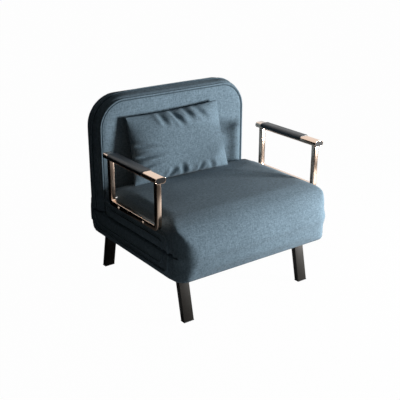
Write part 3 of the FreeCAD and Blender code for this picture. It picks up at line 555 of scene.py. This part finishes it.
def seat_form(name, wall):
    nose, rear = NOSE + wall, SEAT_HIGH.y - wall
    low, top, rear_top, half = SEAT_LOW.z + 0.002, SEAT_HIGH.z - wall, 0.408 - wall, HALF - wall
    side_top = 0.424 - wall
    piece = plate(name, [
        (nose, low), (nose, 0.418 - wall, 0.105 - wall), (-0.1, top, 0.3), (0.06, top, 0.3),
        (rear, rear_top, 0.02), (rear, low)], "x", -half, half)
    plan = plate(name + "_plan", [
        (-half, nose, PLAN_CORNER - wall), (half, nose, PLAN_CORNER - wall), (half, rear, 0.035),
        (-half, rear, 0.035)],
        "z", low - 0.01, top + 0.01)
    across = plate(name + "_across", [
        (-half, low - 0.01), (half, low - 0.01), (half, side_top, 0.036), (0.15, top + 0.0005, 0.4),
        (-0.15, top + 0.0005, 0.4), (-half, side_top, 0.036)], "y", nose - 0.02, rear + 0.02)
    return combine(combine(piece, plan), across)


def back_form(name, wall):
    front, rear = BACK_LOW.y + wall, BACK_HIGH.y - wall
    low, high, half = 0.276 + wall, BACK_HIGH.z - wall, HALF - wall
    piece = plate(name, [
        (-half, low), (half, low), (half, high, SHOULDER - wall), (-half, high, SHOULDER - wall)],
        "y", front, rear, 20)
    for depth, radius in ((front, 0.030 - wall), (rear, 0.018 - wall / 2)):
        edit(piece, "EDGE")

        def rim(edge):
            ends = [vertex.co for vertex in edge.verts]
            return all(abs(end.y - depth) < 1e-5 for end in ends) and max(end.z for end in ends) > low + 1e-4
        choose(piece, "EDGE", rim)
        bpy.ops.mesh.bevel(offset=radius, segments=8, profile=0.5, affect="EDGES", clamp_overlap=False)
        done()
    deselect()
    bpy.ops.mesh.primitive_cylinder_add(vertices=96, radius=0.055 + wall, depth=1, rotation=(0, math.pi / 2, 0),
                                        location=(0, *RECLINE))
    combine(piece, named("hollow"), "DIFFERENCE")
    step = plate("step", [(0.2, 0.24), (RECLINE[0], 0.24), (RECLINE[0], 0.301 + wall), (0.2, 0.301 + wall)],
                 "x", -0.5, 0.5)
    return combine(piece, step, "DIFFERENCE")


def held_at_sides(place):
    """Keeps the cloth clear of the arm tubes, and lets it swell a little more in front of them."""
    out = HALF + (0.001 if place.y > -0.245 else 0.005)
    place.x = max(-out, min(out, place.x))


class CHAIRBED_OT_base_upholstery(bpy.types.Operator):
    """Makes the padded base block under the seat"""
    bl_idname = "chair_bed.base_upholstery"
    bl_label = "Base upholstery"

    def execute(self, context):
        swell = context.scene.chair_bed_fabric.swell

        def limit(place):
            held_at_sides(place)
            place.z = min(SPLIT - SPLIT_GAP, place.z)
            return place
        block = base_form("base_upholstery", START_WALL)
        piece = swelled(block, swell, limit, inward=-LEAST_RISE, rounds=9)
        dressed(piece, finish("slate linen"), "upholstery_fabric")
        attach(piece, "base")
        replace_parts(piece, "base_cover", "base_foam")
        return {"FINISHED"}


class CHAIRBED_OT_seat_upholstery(bpy.types.Operator):
    """Makes the crowned seat block with its waterfall nose"""
    bl_idname = "chair_bed.seat_upholstery"
    bl_label = "Seat upholstery"

    def execute(self, context):
        swell = context.scene.chair_bed_fabric.swell

        def limit(place):
            held_at_sides(place)
            place.y = min(SEAT_REAR, place.y)
            place.z = max(SPLIT + SPLIT_GAP, place.z)
            return place
        block = seat_form("seat_upholstery", START_WALL)
        piece = swelled(block, swell, limit, inward=-LEAST_RISE, rounds=12)
        dressed(piece, finish("slate linen"), "upholstery_fabric")
        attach(piece, "seat_section")
        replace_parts(piece, "seat_cover", "seat_top_foam", "seat_under_foam")
        return {"FINISHED"}


class CHAIRBED_OT_back_upholstery(bpy.types.Operator):
    """Makes the padded backrest slab with round shoulders"""
    bl_idname = "chair_bed.back_upholstery"
    bl_label = "Back upholstery"

    def execute(self, context):
        swell = context.scene.chair_bed_fabric.swell

        def limit(place):
            place.y = max(BACK_FRONT, place.y)
            return place
        piece = swelled(back_form("back_upholstery", START_WALL), swell, limit, inward=-LEAST_RISE)
        dressed(piece, finish("slate linen"), "upholstery_fabric")
        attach(piece, "backrest")
        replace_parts(piece, "back_cover", "back_front_foam", "back_rear_foam")
        return {"FINISHED"}


# The cloth over the nose: where it ends, and where its side walls part about the split
WRAP_REAR, WRAP_LOW, WRAP_HIGH = -0.288, 0.210, 0.395
WRAP_PARTING = 0.003  # half the height of the slit in its side walls
WRAP_PARTING_FRONT = -0.318
WRAP_RISE, WRAP_RISE_REACH = 0.0062, 0.09  # how far it bulges, and how far from the split
WRAP_SINK = 0.0006  # how far its far edges dip into the cushions
WRAP_FADE = 0.022  # over which the bulge starts, behind the nose
WRAP_GROOVE_REACH = 0.034  # how far from the split the groove between the cushions is bridged
WRAP_BRIDGE = 0.0068  # how far the bridge stands out


class CHAIRBED_OT_nose_wrap(bpy.types.Operator):
    """Makes the cloth that runs unbroken over the front hinge"""
    bl_idname = "chair_bed.nose_wrap"
    bl_label = "Nose wrap"

    def execute(self, context):
        deselect()
        for name in ("base_upholstery", "seat_upholstery"):
            bpy.data.objects[name].select_set(True)
        bpy.context.view_layer.objects.active = bpy.data.objects["seat_upholstery"]
        bpy.ops.object.duplicate()
        copies = list(bpy.context.selected_objects)
        for copy in copies:
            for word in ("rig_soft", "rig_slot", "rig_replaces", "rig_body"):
                if word in copy:
                    del copy[word]
            copy.parent = None
        bpy.ops.object.join()
        piece = named("nose_wrap")
        modify(piece, "REMESH", mode="VOXEL", voxel_size=context.scene.chair_bed_fabric.voxel * 0.75)
        modify(piece, "SMOOTH", factor=0.5, iterations=4)
        edit(piece)
        for place, normal in (((0, WRAP_REAR, 0), (0, 1, 0)), ((0, 0, WRAP_LOW), (0, 0, -1)),
                              ((0, 0, WRAP_HIGH), (0, 0, 1))):
            bpy.ops.mesh.select_all(action="SELECT")
            bpy.ops.mesh.bisect(plane_co=place, plane_no=normal, clear_outer=True)
        done()
        normals = [vertex.normal.copy() for vertex in piece.data.vertices]
        for vertex, normal in zip(piece.data.vertices, normals):
            height = abs(vertex.co.z - SPLIT)
            rise = max(0.0, 1 - height / WRAP_RISE_REACH)
            edge = max(0.0, min(1.0, (WRAP_REAR - vertex.co.y) / WRAP_FADE))
            near = max(0.0, 1 - height / WRAP_GROOVE_REACH)
            vertex.co += normal * (WRAP_RISE * rise ** 3 * edge - WRAP_SINK) * (1 - min(1.0, 2.2 * near))
            if near:
                across = abs(vertex.co.x) - (HALF - PLAN_CORNER)
                ahead = NOSE + PLAN_CORNER - vertex.co.y
                if across > 0 and ahead > 0:
                    reach = math.hypot(across, ahead)
                    out = Vector((math.copysign(across, vertex.co.x), -ahead, 0)) / reach
                else:
                    reach, out = ahead, Vector((0, -1, 0))
                short = PLAN_CORNER + WRAP_BRIDGE * edge * rise ** 3 - reach
                vertex.co += out * max(0.0, short * min(1.0, 2.2 * near))
        modify(piece, "SMOOTH", factor=0.5, iterations=8, use_x=False, use_z=False)
        # The side walls part at the split behind the nose.
        edit(piece)
        for height in (SPLIT - WRAP_PARTING, SPLIT + WRAP_PARTING):
            bpy.ops.mesh.select_all(action="SELECT")
            bpy.ops.mesh.bisect(plane_co=(0, 0, height), plane_no=(0, 0, 1))
        done()
        edit(piece, "FACE")
        choose(piece, "FACE", lambda face: abs(face.calc_center_median().z - SPLIT) < 0.0029
               and face.calc_center_median().y > WRAP_PARTING_FRONT)
        bpy.ops.mesh.delete(type="FACE")
        done()
        modify(piece, "SOLIDIFY", thickness=0.003, offset=-1)
        smooth(piece)
        dressed(piece, finish("slate linen"), "upholstery_fabric")
        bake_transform(piece)
        return {"FINISHED"}


class CHAIRBED_OT_back_gusset(bpy.types.Operator):
    """Makes the soft strip that closes the notch between the base and the back, behind the hinge"""
    bl_idname = "chair_bed.back_gusset"
    bl_label = "Back gusset"

    def execute(self, context):
        piece = plate("back_gusset", [
            (0.328, 0.238), (0.3445, 0.234), (0.3475, 0.262), (0.3465, 0.285), (0.3425, 0.312), (0.3385, 0.345),
            (0.324, 0.345)], "x", 0.004 - HALF, HALF - 0.004)
        modify(piece, "REMESH", mode="VOXEL", voxel_size=0.006)
        modify(piece, "SMOOTH", factor=0.5, iterations=5)
        smooth(piece)
        dressed(piece, finish("slate linen"), "upholstery_fabric")
        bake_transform(piece)
        return {"FINISHED"}


# Side seams: body, cushion, name, cord radius, and points of depth, height and corner
SIDE_SEAMS = (
    ("seat_section", "seat_upholstery", "seat_outer", 0.0052, (
        (0.2, 0.372, 0), (-0.262, 0.372, 0.034), (-0.262, SPLIT + 0.001, 0))),
    ("seat_section", "seat_upholstery", "seat_inner", 0.0034, (
        (0.19, 0.343, 0), (-0.222, 0.343, 0.022), (-0.222, SPLIT + 0.001, 0))),
    ("base", "base_upholstery", "base_outer", 0.0052, (
        (-0.262, SPLIT - 0.001, 0), (-0.262, 0.222, 0.030), (0.275, 0.222, 0.05), (0.318, 0.268, 0))),
    ("base", "base_upholstery", "base_inner", 0.0034, (
        (-0.222, SPLIT - 0.001, 0), (-0.222, 0.247, 0.022), (0.262, 0.247, 0.04), (0.29, 0.285, 0))),
)
# Back seams: name, depth, distance in from the edge, radius as a share of the piping's, finish; the groove rows
# are thin dark cords of painted shade laid in the seam grooves beside the piping
BACK_SEAMS = (
    ("front", 0.2334, 0.012, 1.3, "slate linen"), ("front_groove", 0.2325, 0.0195, 0.7, "painted seam shadow"),
    ("middle", 0.284, -0.0042, 1.3, "slate linen"), ("middle_groove", 0.277, -0.0042, 0.7, "painted seam shadow"),
    ("rear", 0.324, 0.0022, 1.0, "slate linen"),
)
BACK_SEAM_FOOT = 0.318


class CHAIRBED_OT_corded_seams(bpy.types.Operator):
    """Makes the corded seams of the sides and the backrest, and the thin dark cords of painted shade in the
    backrest's seam grooves
    """
    bl_idname = "chair_bed.corded_seams"
    bl_label = "Corded seams"

    def execute(self, context):
        radius = context.scene.chair_bed_fabric.piping
        for word, sign in SIDES:
            x = sign * (HALF + 0.0006)
            for body, cushion, seam, size, points in SIDE_SEAMS:
                path = rounded([((x, depth, height), corner) for depth, height, corner in points])
                piece = cord_seam("%s_%s_cord" % (word, seam), divided(path), size, bpy.data.objects[cushion])
                dressed(piece, finish("slate linen"), "upholstery_fabric")
                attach(piece, body)
        for seam, depth, edge, share, material in BACK_SEAMS:
            half, top, corner = HALF - edge, BACK_HIGH.z - edge, SHOULDER - edge
            path = rounded((((-half, depth, BACK_SEAM_FOOT), 0), ((-half, depth, top), corner),
                            ((half, depth, top), corner), ((half, depth, BACK_SEAM_FOOT), 0)), 24)
            piece = cord_seam("back_%s_cord" % seam, divided(path), radius * share,
                              bpy.data.objects["back_upholstery"])
            dressed(piece, finish(material), "upholstery_fabric")
            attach(piece, "backrest")
        return {"FINISHED"}


# Pillow: corners top left, top right, bottom left, bottom right, on the plane that leans on the back

PILLOW_CORNERS = ((-0.264, 0.208, 0.702), (0.198, 0.208, 0.710), (-0.266, 0.150, 0.420), (0.224, 0.150, 0.420))
# Folds: start across and up (-1 to 1), direction, length, width, depth
PILLOW_FOLDS = (
    (-0.36, 1.0, 0.2, -1, 0.50, 0.055, 0.010), (-0.10, 1.0, 0.35, -1, 0.62, 0.05, 0.013),
    (0.18, 1.0, 0.3, -1, 0.45, 0.05, 0.011), (0.42, 1.0, 0.45, -1, 0.55, 0.06, 0.012),
    (-1.0, 0.15, 1, -0.15, 0.45, 0.05, 0.009), (-1.0, -0.2, 1, 0.05, 0.62, 0.05, 0.010),
    (-1.0, -0.5, 1, 0.22, 0.52, 0.05, 0.009), (-0.35, -1.0, 0.25, 1, 0.42, 0.05, 0.010),
    (-0.02, -1.0, -0.2, 1, 0.50, 0.05, 0.012), (0.30, -1.0, 0.1, 1, 0.38, 0.045, 0.010),
    (0.62, -1.0, -0.3, 1, 0.40, 0.05, 0.009), (1.0, 0.1, -1, 0.1, 0.35, 0.05, 0.006),
)
FOLD_GAIN, FOLD_RIDGE = 2.0, 0.55  # depth of the folds, and the ridges beside them
PILLOW_COLUMNS, PILLOW_ROWS = 150, 92
PILLOW_THICK = 0.058  # the front half; the rear half is flatter
PILLOW_LOW = 0.4200


def fold_depth(across, up):
    """How deep the folds cut into the pillow at a place."""
    depth = 0.0
    for start_across, start_up, step_across, step_up, length, width, cut in PILLOW_FOLDS:
        size = math.hypot(step_across, step_up)
        ahead = ((across - start_across) * step_across + (up - start_up) * step_up) / size
        aside = ((across - start_across) * step_up - (up - start_up) * step_across) / size
        if -0.1 < ahead < length:
            fade = max(0.0, 1 - max(0.0, ahead) / length)
            depth += FOLD_GAIN * cut * fade * (
                math.exp(-(aside / width) ** 2)
                - FOLD_RIDGE * math.exp(-((aside - 1.9 * width) / width) ** 2)
                - FOLD_RIDGE * math.exp(-((aside + 1.9 * width) / width) ** 2))
    return depth


class CHAIRBED_OT_lumbar_pillow(bpy.types.Operator):
    """Makes the knife-edge pillow with its gathers"""
    bl_idname = "chair_bed.lumbar_pillow"
    bl_label = "Lumbar pillow"

    def execute(self, context):
        deselect()
        bpy.ops.mesh.primitive_grid_add(x_subdivisions=PILLOW_COLUMNS, y_subdivisions=PILLOW_ROWS, size=2)
        piece = named("pillow_cover")
        count = len(piece.data.vertices)
        edit(piece)
        bpy.ops.mesh.select_all(action="SELECT")
        bpy.ops.mesh.duplicate()
        bpy.ops.mesh.flip_normals()
        done()
        top_left, top_right, low_left, low_right = (Vector(corner) for corner in PILLOW_CORNERS)
        lean = (top_left - low_left).cross(low_right - low_left).normalized()
        if lean.y > 0:
            lean = -lean
        for order, vertex in enumerate(piece.data.vertices):
            across, up = vertex.co.x, vertex.co.y
            pull_side = 0.035 * (1 - up ** 2) * abs(across) ** 3
            pull_end = 0.050 * (1 - across ** 2) * abs(up) ** 3
            flat_across = across * (1 - pull_side)
            flat_up = up * (1 - pull_end)
            place = (low_left.lerp(low_right, (flat_across + 1) / 2)).lerp(
                top_left.lerp(top_right, (flat_across + 1) / 2), (flat_up + 1) / 2)
            body = max(0.0, (1 - abs(across) ** 2.6) * (1 - abs(up) ** 2.4)) ** 0.62
            fullness = PILLOW_THICK * body * (1 - 0.10 * up)
            if order < count:
                rim = min(1.0, 3.5 * min(1 - abs(across), 1 - abs(up)) + 0.12)
                vertex.co = place + lean * (fullness - fold_depth(across, up) * rim)
            else:
                vertex.co = place - lean * fullness * 0.62
        edit(piece)
        bpy.ops.mesh.select_all(action="SELECT")
        bpy.ops.mesh.remove_doubles(threshold=0.0008)
        bpy.ops.mesh.normals_make_consistent(inside=False)
        done()

        def limit(place):
            place.y = min(PILLOW_REAR, place.y)
            place.z = max(PILLOW_LOW, place.z)
            return place
        swelled(piece, 0.003, limit, voxel=0, pressure=2.0, subdivide=False, inward=0.0015, rounds=0)
        dressed(piece, finish("slate linen"), "upholstery_fabric")
        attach(piece, "pillow")
        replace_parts(piece, "lumbar_pillow")
        return {"FINISHED"}


# Arms and legs

def turned_bar(name, x_low, x_high):
    """A flat tube bent into a U: down, along and up again."""
    low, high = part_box("right_arm_frame")
    depth, bend = 0.022, 0.026
    deselect()
    bpy.ops.mesh.primitive_plane_add(size=1)
    piece = named(name)
    for vertex, place in zip(piece.data.vertices, ((x_low, low.y), (x_high, low.y), (x_low, low.y + depth),
                                                   (x_high, low.y + depth))):
        vertex.co = (*place, high.z)
    edit(piece, "FACE")
    bpy.ops.mesh.select_all(action="SELECT")
    down = high.z - low.z - bend
    bpy.ops.mesh.extrude_region_move(TRANSFORM_OT_translate={"value": (0, 0, -down)})
    bpy.ops.mesh.spin(steps=8, angle=-math.pi / 2, center=(0, low.y + bend, low.z + bend), axis=(1, 0, 0))
    bpy.ops.mesh.extrude_region_move(TRANSFORM_OT_translate={"value": (0, high.y - low.y - 2 * bend, 0)})
    bpy.ops.mesh.spin(steps=8, angle=-math.pi / 2, center=(0, high.y - bend, low.z + bend), axis=(1, 0, 0))
    bpy.ops.mesh.extrude_region_move(TRANSFORM_OT_translate={"value": (0, 0, down)})
    bpy.ops.mesh.select_all(action="SELECT")
    bpy.ops.mesh.remove_doubles(threshold=0.00001)
    bpy.ops.mesh.normals_make_consistent(inside=False)
    done()
    return piece


def softened(piece, width, segments=3):
    """Rounds a metal piece's sharp edges."""
    modify(piece, "BEVEL", width=width, segments=segments, limit_method="ANGLE", angle_limit=math.radians(40))
    return smooth(piece, 50)


class CHAIRBED_OT_arms(bpy.types.Operator):
    """Makes the bent arm tubes, the oval rails and the arm pads"""
    bl_idname = "chair_bed.arms"
    bl_label = "Arms"

    def execute(self, context):
        edge = context.scene.chair_bed_metal.edge
        for word, _ in SIDES:
            low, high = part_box("%s_arm_frame" % word)
            piece = softened(turned_bar("%s_arm_tube" % word, low.x, high.x), edge)
            dressed(piece, finish("rose gold"), "rose_gold_metal")
            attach(piece, "seat_section")
            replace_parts(piece, "%s_arm_frame" % word)

            low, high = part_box("%s_arm_rail" % word)
            round_end = (high.z - low.z) / 2 - 0.0001
            piece = plate("%s_arm_handrail" % word, [
                (low.x, low.z, round_end), (high.x, low.z, round_end), (high.x, high.z, round_end),
                (low.x, high.z, round_end)], "y", low.y, high.y, 10)
            edit(piece, "FACE")
            choose(piece, "FACE", lambda face: abs(face.normal.y) > 0.99)
            bpy.ops.mesh.inset(thickness=0.0015)
            bpy.ops.mesh.extrude_region_shrink_fatten(TRANSFORM_OT_shrink_fatten={"value": -0.010})
            done()
            softened(piece, 0.0004, 2)
            dressed(piece, finish("rose gold"), "rose_gold_metal")
            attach(piece, "seat_section")
            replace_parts(piece, "%s_arm_rail" % word)

            low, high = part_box("%s_arm_pad" % word)
            piece = plate("%s_arm_cushion" % word, [
                (low.x, low.z, 0.003), (high.x, low.z, 0.003), (high.x, high.z + 0.001, 0.011),
                (low.x, high.z + 0.001, 0.011)], "y", low.y, high.y, 8)
            swelled(piece, 0.0008, voxel=0.0028, pressure=3.0, subdivide=False)
            dressed(piece, finish("arm pad skin"), "dark_pad")
            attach(piece, "seat_section")
            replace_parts(piece, "%s_arm_pad" % word)
        return {"FINISHED"}


LEG_SPLAY = math.radians(12)


class CHAIRBED_OT_legs(bpy.types.Operator):
    """Makes the four splayed legs with softened edges"""
    bl_idname = "chair_bed.legs"
    bl_label = "Legs"

    def execute(self, context):
        for end, forward in (("front", True), ("rear", False)):
            for word, _ in SIDES:
                node = "%s_%s_leg" % (end, word)
                low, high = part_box(node)
                lean = math.tan(LEG_SPLAY) * (high.z - low.z)
                deselect()
                bpy.ops.mesh.primitive_cube_add(size=1)
                piece = named("%s_tapered" % node)
                for vertex in piece.data.vertices:
                    at_top, at_far = vertex.co.z > 0, vertex.co.y > 0
                    depth = high.y - low.y - lean
                    start = low.y + (lean if at_top == forward else 0)
                    vertex.co = (high.x if vertex.co.x > 0 else low.x, start + (depth if at_far else 0),
                                 high.z if at_top else low.z)
                edit(piece, "FACE")
                choose(piece, "FACE", lambda face: face.normal.z < -0.9)
                bpy.ops.mesh.inset(thickness=0.004)
                done()
                softened(piece, context.scene.chair_bed_metal.edge)
                dressed(piece, finish("bronze black paint"), "bronze_black_paint")
                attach(piece, "base")
                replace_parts(piece, node)
        return {"FINISHED"}


NODE_FINISHES = {
    "black lining": ("dust_cover",),
    "frame paint": ("base_frame", "seat_frame", "back_frame", "head_leg"),
    "zinc steel": ("front_hinge_base_leaves", "front_hinge_seat_leaves", "recliner_brackets",
                   "recliner_sectors", "head_leg_brackets", "leg_plates", "arm_spacers", "left_pawl",
                   "right_pawl"),
    "bright steel": ("arm_bolts", "arm_stop_pins", "front_hinge_pins", "recliner_pins", "pawl_pins",
                     "head_leg_pins", "bracket_screws", "leg_bolts"),
    "spring wire": ("base_springs", "seat_springs", "back_springs"),
    "black rubber": ("leg_glides", "head_leg_sleeves"),
    "black plastic": ("rail_end_caps",),
}


class CHAIRBED_OT_hardware(bpy.types.Operator):
    """Gives the frames, springs and fittings their finishes"""
    bl_idname = "chair_bed.hardware"
    bl_label = "Frames and fittings"

    def execute(self, context):
        finished = set()
        for name, members in NODE_FINISHES.items():
            for member in members:
                node = NODES[member]
                node.data.materials.clear()
                node.data.materials.append(finish(name))
                finished.add(member)
        covered = {"base_cover", "base_foam", "seat_cover", "seat_top_foam", "seat_under_foam", "back_cover",
                   "back_front_foam", "back_rear_foam", "lumbar_pillow"}
        covered |= {"%s_arm_%s" % (word, part) for word, _ in SIDES for part in ("frame", "rail", "pad")}
        covered |= {"%s_%s_leg" % (end, word) for end in ("front", "rear") for word, _ in SIDES}
        left = set(NODES) - finished - covered
        if left:
            raise RuntimeError("no finish for %s" % sorted(left))
        return {"FINISHED"}


# Stage

CAMERA_PLACE = (-1.7778, -2.3941, 1.4929)
CAMERA_TURN = (math.radians(69.017), 0, math.radians(-35.9547))
CAMERA_LENS = 68.5
FLOOR_WIDTH, CARD_WIDTH = 60, 2.6
FLOOR_SHOWN_WHITE = 0.985  # the rest keeps the object's shadow


def lamp(name, place, aim, size, power):
    deselect()
    bpy.ops.object.light_add(type="AREA", location=place)
    light = bpy.context.view_layer.objects.active
    light.name = name
    light.data.energy = power
    light.data.size = size
    light.rotation_euler = (Vector(aim) - Vector(place)).to_track_quat("-Z", "Y").to_euler()


class CHAIRBED_OT_stage(bpy.types.Operator):
    """Sets the pale floor, the soft light and the camera"""
    bl_idname = "chair_bed.stage"
    bl_label = "Stage"

    def execute(self, context):
        light = context.scene.chair_bed_light
        deselect()
        bpy.ops.mesh.primitive_plane_add(size=FLOOR_WIDTH)
        floor = named("floor")
        material, tree, shader, _ = fresh_material("pale floor")
        shader.inputs["Base Color"].default_value = (0.42, 0.42, 0.42, 1)
        shader.inputs["Roughness"].default_value = 0.9
        shader.inputs["Specular IOR Level"].default_value = 0.0
        glow = put(tree, "ShaderNodeEmission", {"Strength": 1.0})
        path = put(tree, "ShaderNodeLightPath").outputs
        seen = joined(tree, path["Is Camera Ray"], FLOOR_SHOWN_WHITE, "MULTIPLY")
        mixed = put(tree, "ShaderNodeMixShader", {
            0: seen, 1: shader.outputs["BSDF"], 2: glow.outputs["Emission"]})
        tree.links.new(mixed.outputs["Shader"], tree.nodes["Material Output"].inputs["Surface"])
        floor.data.materials.append(material)

        material, tree, shader, _ = fresh_material("dark card")
        shader.inputs["Base Color"].default_value = (0.01, 0.01, 0.01, 1)
        shader.inputs["Roughness"].default_value = 1.0
        shader.inputs["Specular IOR Level"].default_value = 0.0
        for name, turn, place in (("left_card", (0, math.pi / 2, 0), (-1.5, 0.2, 1.0)),
                                  ("rear_card", (math.pi / 2, 0, 0), (-1.0, 0.62, -0.6))):
            deselect()
            bpy.ops.mesh.primitive_plane_add(size=CARD_WIDTH, rotation=turn, location=place)
            bpy.ops.object.transform_apply(location=True, rotation=True, scale=True)
            card = named(name)
            card.data.materials.append(material)
            card.visible_camera = False
            card.visible_diffuse = name == "left_card"
            card.visible_shadow = name == "left_card"

        lamp("key_light", (1.45, -1.3, 0.7), (0.05, -0.1, 0.42), 0.55, light.key)
        lamp("top_light", (0.6, -0.6, 2.9), (0, 0, 0.4), 1.8, light.fill)

        world = bpy.data.worlds.new("studio")
        bpy.context.scene.world = world
        world.use_nodes = True
        tree = world.node_tree
        path = put(tree, "ShaderNodeLightPath").outputs
        seen = joined(tree, joined(tree, path["Is Camera Ray"], path["Is Glossy Ray"], "ADD"),
                      path["Is Transmission Ray"], "ADD")
        level = spread(tree, seen, 0.0, 1.0, light.world, 1.0)
        tree.links.new(level, tree.nodes["Background"].inputs["Strength"])
        tree.nodes["Background"].inputs["Color"].default_value = (1, 1, 1, 1)

        deselect()
        bpy.ops.object.camera_add(location=CAMERA_PLACE, rotation=CAMERA_TURN)
        camera = bpy.context.view_layer.objects.active
        camera.name = "photo_camera"
        camera.data.lens = CAMERA_LENS
        camera.data.sensor_width = 36
        bpy.context.scene.camera = camera
        bpy.context.scene.view_settings.view_transform = "Standard"
        return {"FINISHED"}


class CHAIRBED_PT_panel(bpy.types.Panel):
    """Lists the pieces of the chair bed"""
    bl_idname = "CHAIRBED_PT_panel"
    bl_label = "Chair Bed"
    bl_space_type = "VIEW_3D"
    bl_region_type = "UI"
    bl_category = "Chair Bed"

    def draw(self, context):
        for settings in (context.scene.chair_bed_fabric, context.scene.chair_bed_metal,
                         context.scene.chair_bed_light):
            box = self.layout.box()
            for name in settings.bl_rna.properties.keys():
                if name not in ("rna_type", "name"):
                    box.prop(settings, name)
        for step in STEPS:
            self.layout.operator(step.bl_idname)


STEPS = (
    CHAIRBED_OT_finishes, CHAIRBED_OT_base_upholstery, CHAIRBED_OT_seat_upholstery, CHAIRBED_OT_back_upholstery,
    CHAIRBED_OT_nose_wrap, CHAIRBED_OT_back_gusset, CHAIRBED_OT_corded_seams, CHAIRBED_OT_lumbar_pillow,
    CHAIRBED_OT_arms, CHAIRBED_OT_legs, CHAIRBED_OT_hardware, CHAIRBED_OT_stage,
)
SETTINGS = (("chair_bed_fabric", ChairBedFabric), ("chair_bed_metal", ChairBedMetal),
            ("chair_bed_light", ChairBedLight))
CLASSES = tuple(kind for _, kind in SETTINGS) + STEPS + (CHAIRBED_PT_panel,)


def register():
    for kind in CLASSES:
        bpy.utils.register_class(kind)
    for name, kind in SETTINGS:
        setattr(bpy.types.Scene, name, PointerProperty(type=kind))


def unregister():
    for name, _ in SETTINGS:
        delattr(bpy.types.Scene, name)
    for kind in reversed(CLASSES):
        bpy.utils.unregister_class(kind)


def main():
    register()
    for step in STEPS:
        getattr(bpy.ops.chair_bed, step.bl_idname.split(".")[1])()
    deselect()


if __name__ == "__main__":
    main()
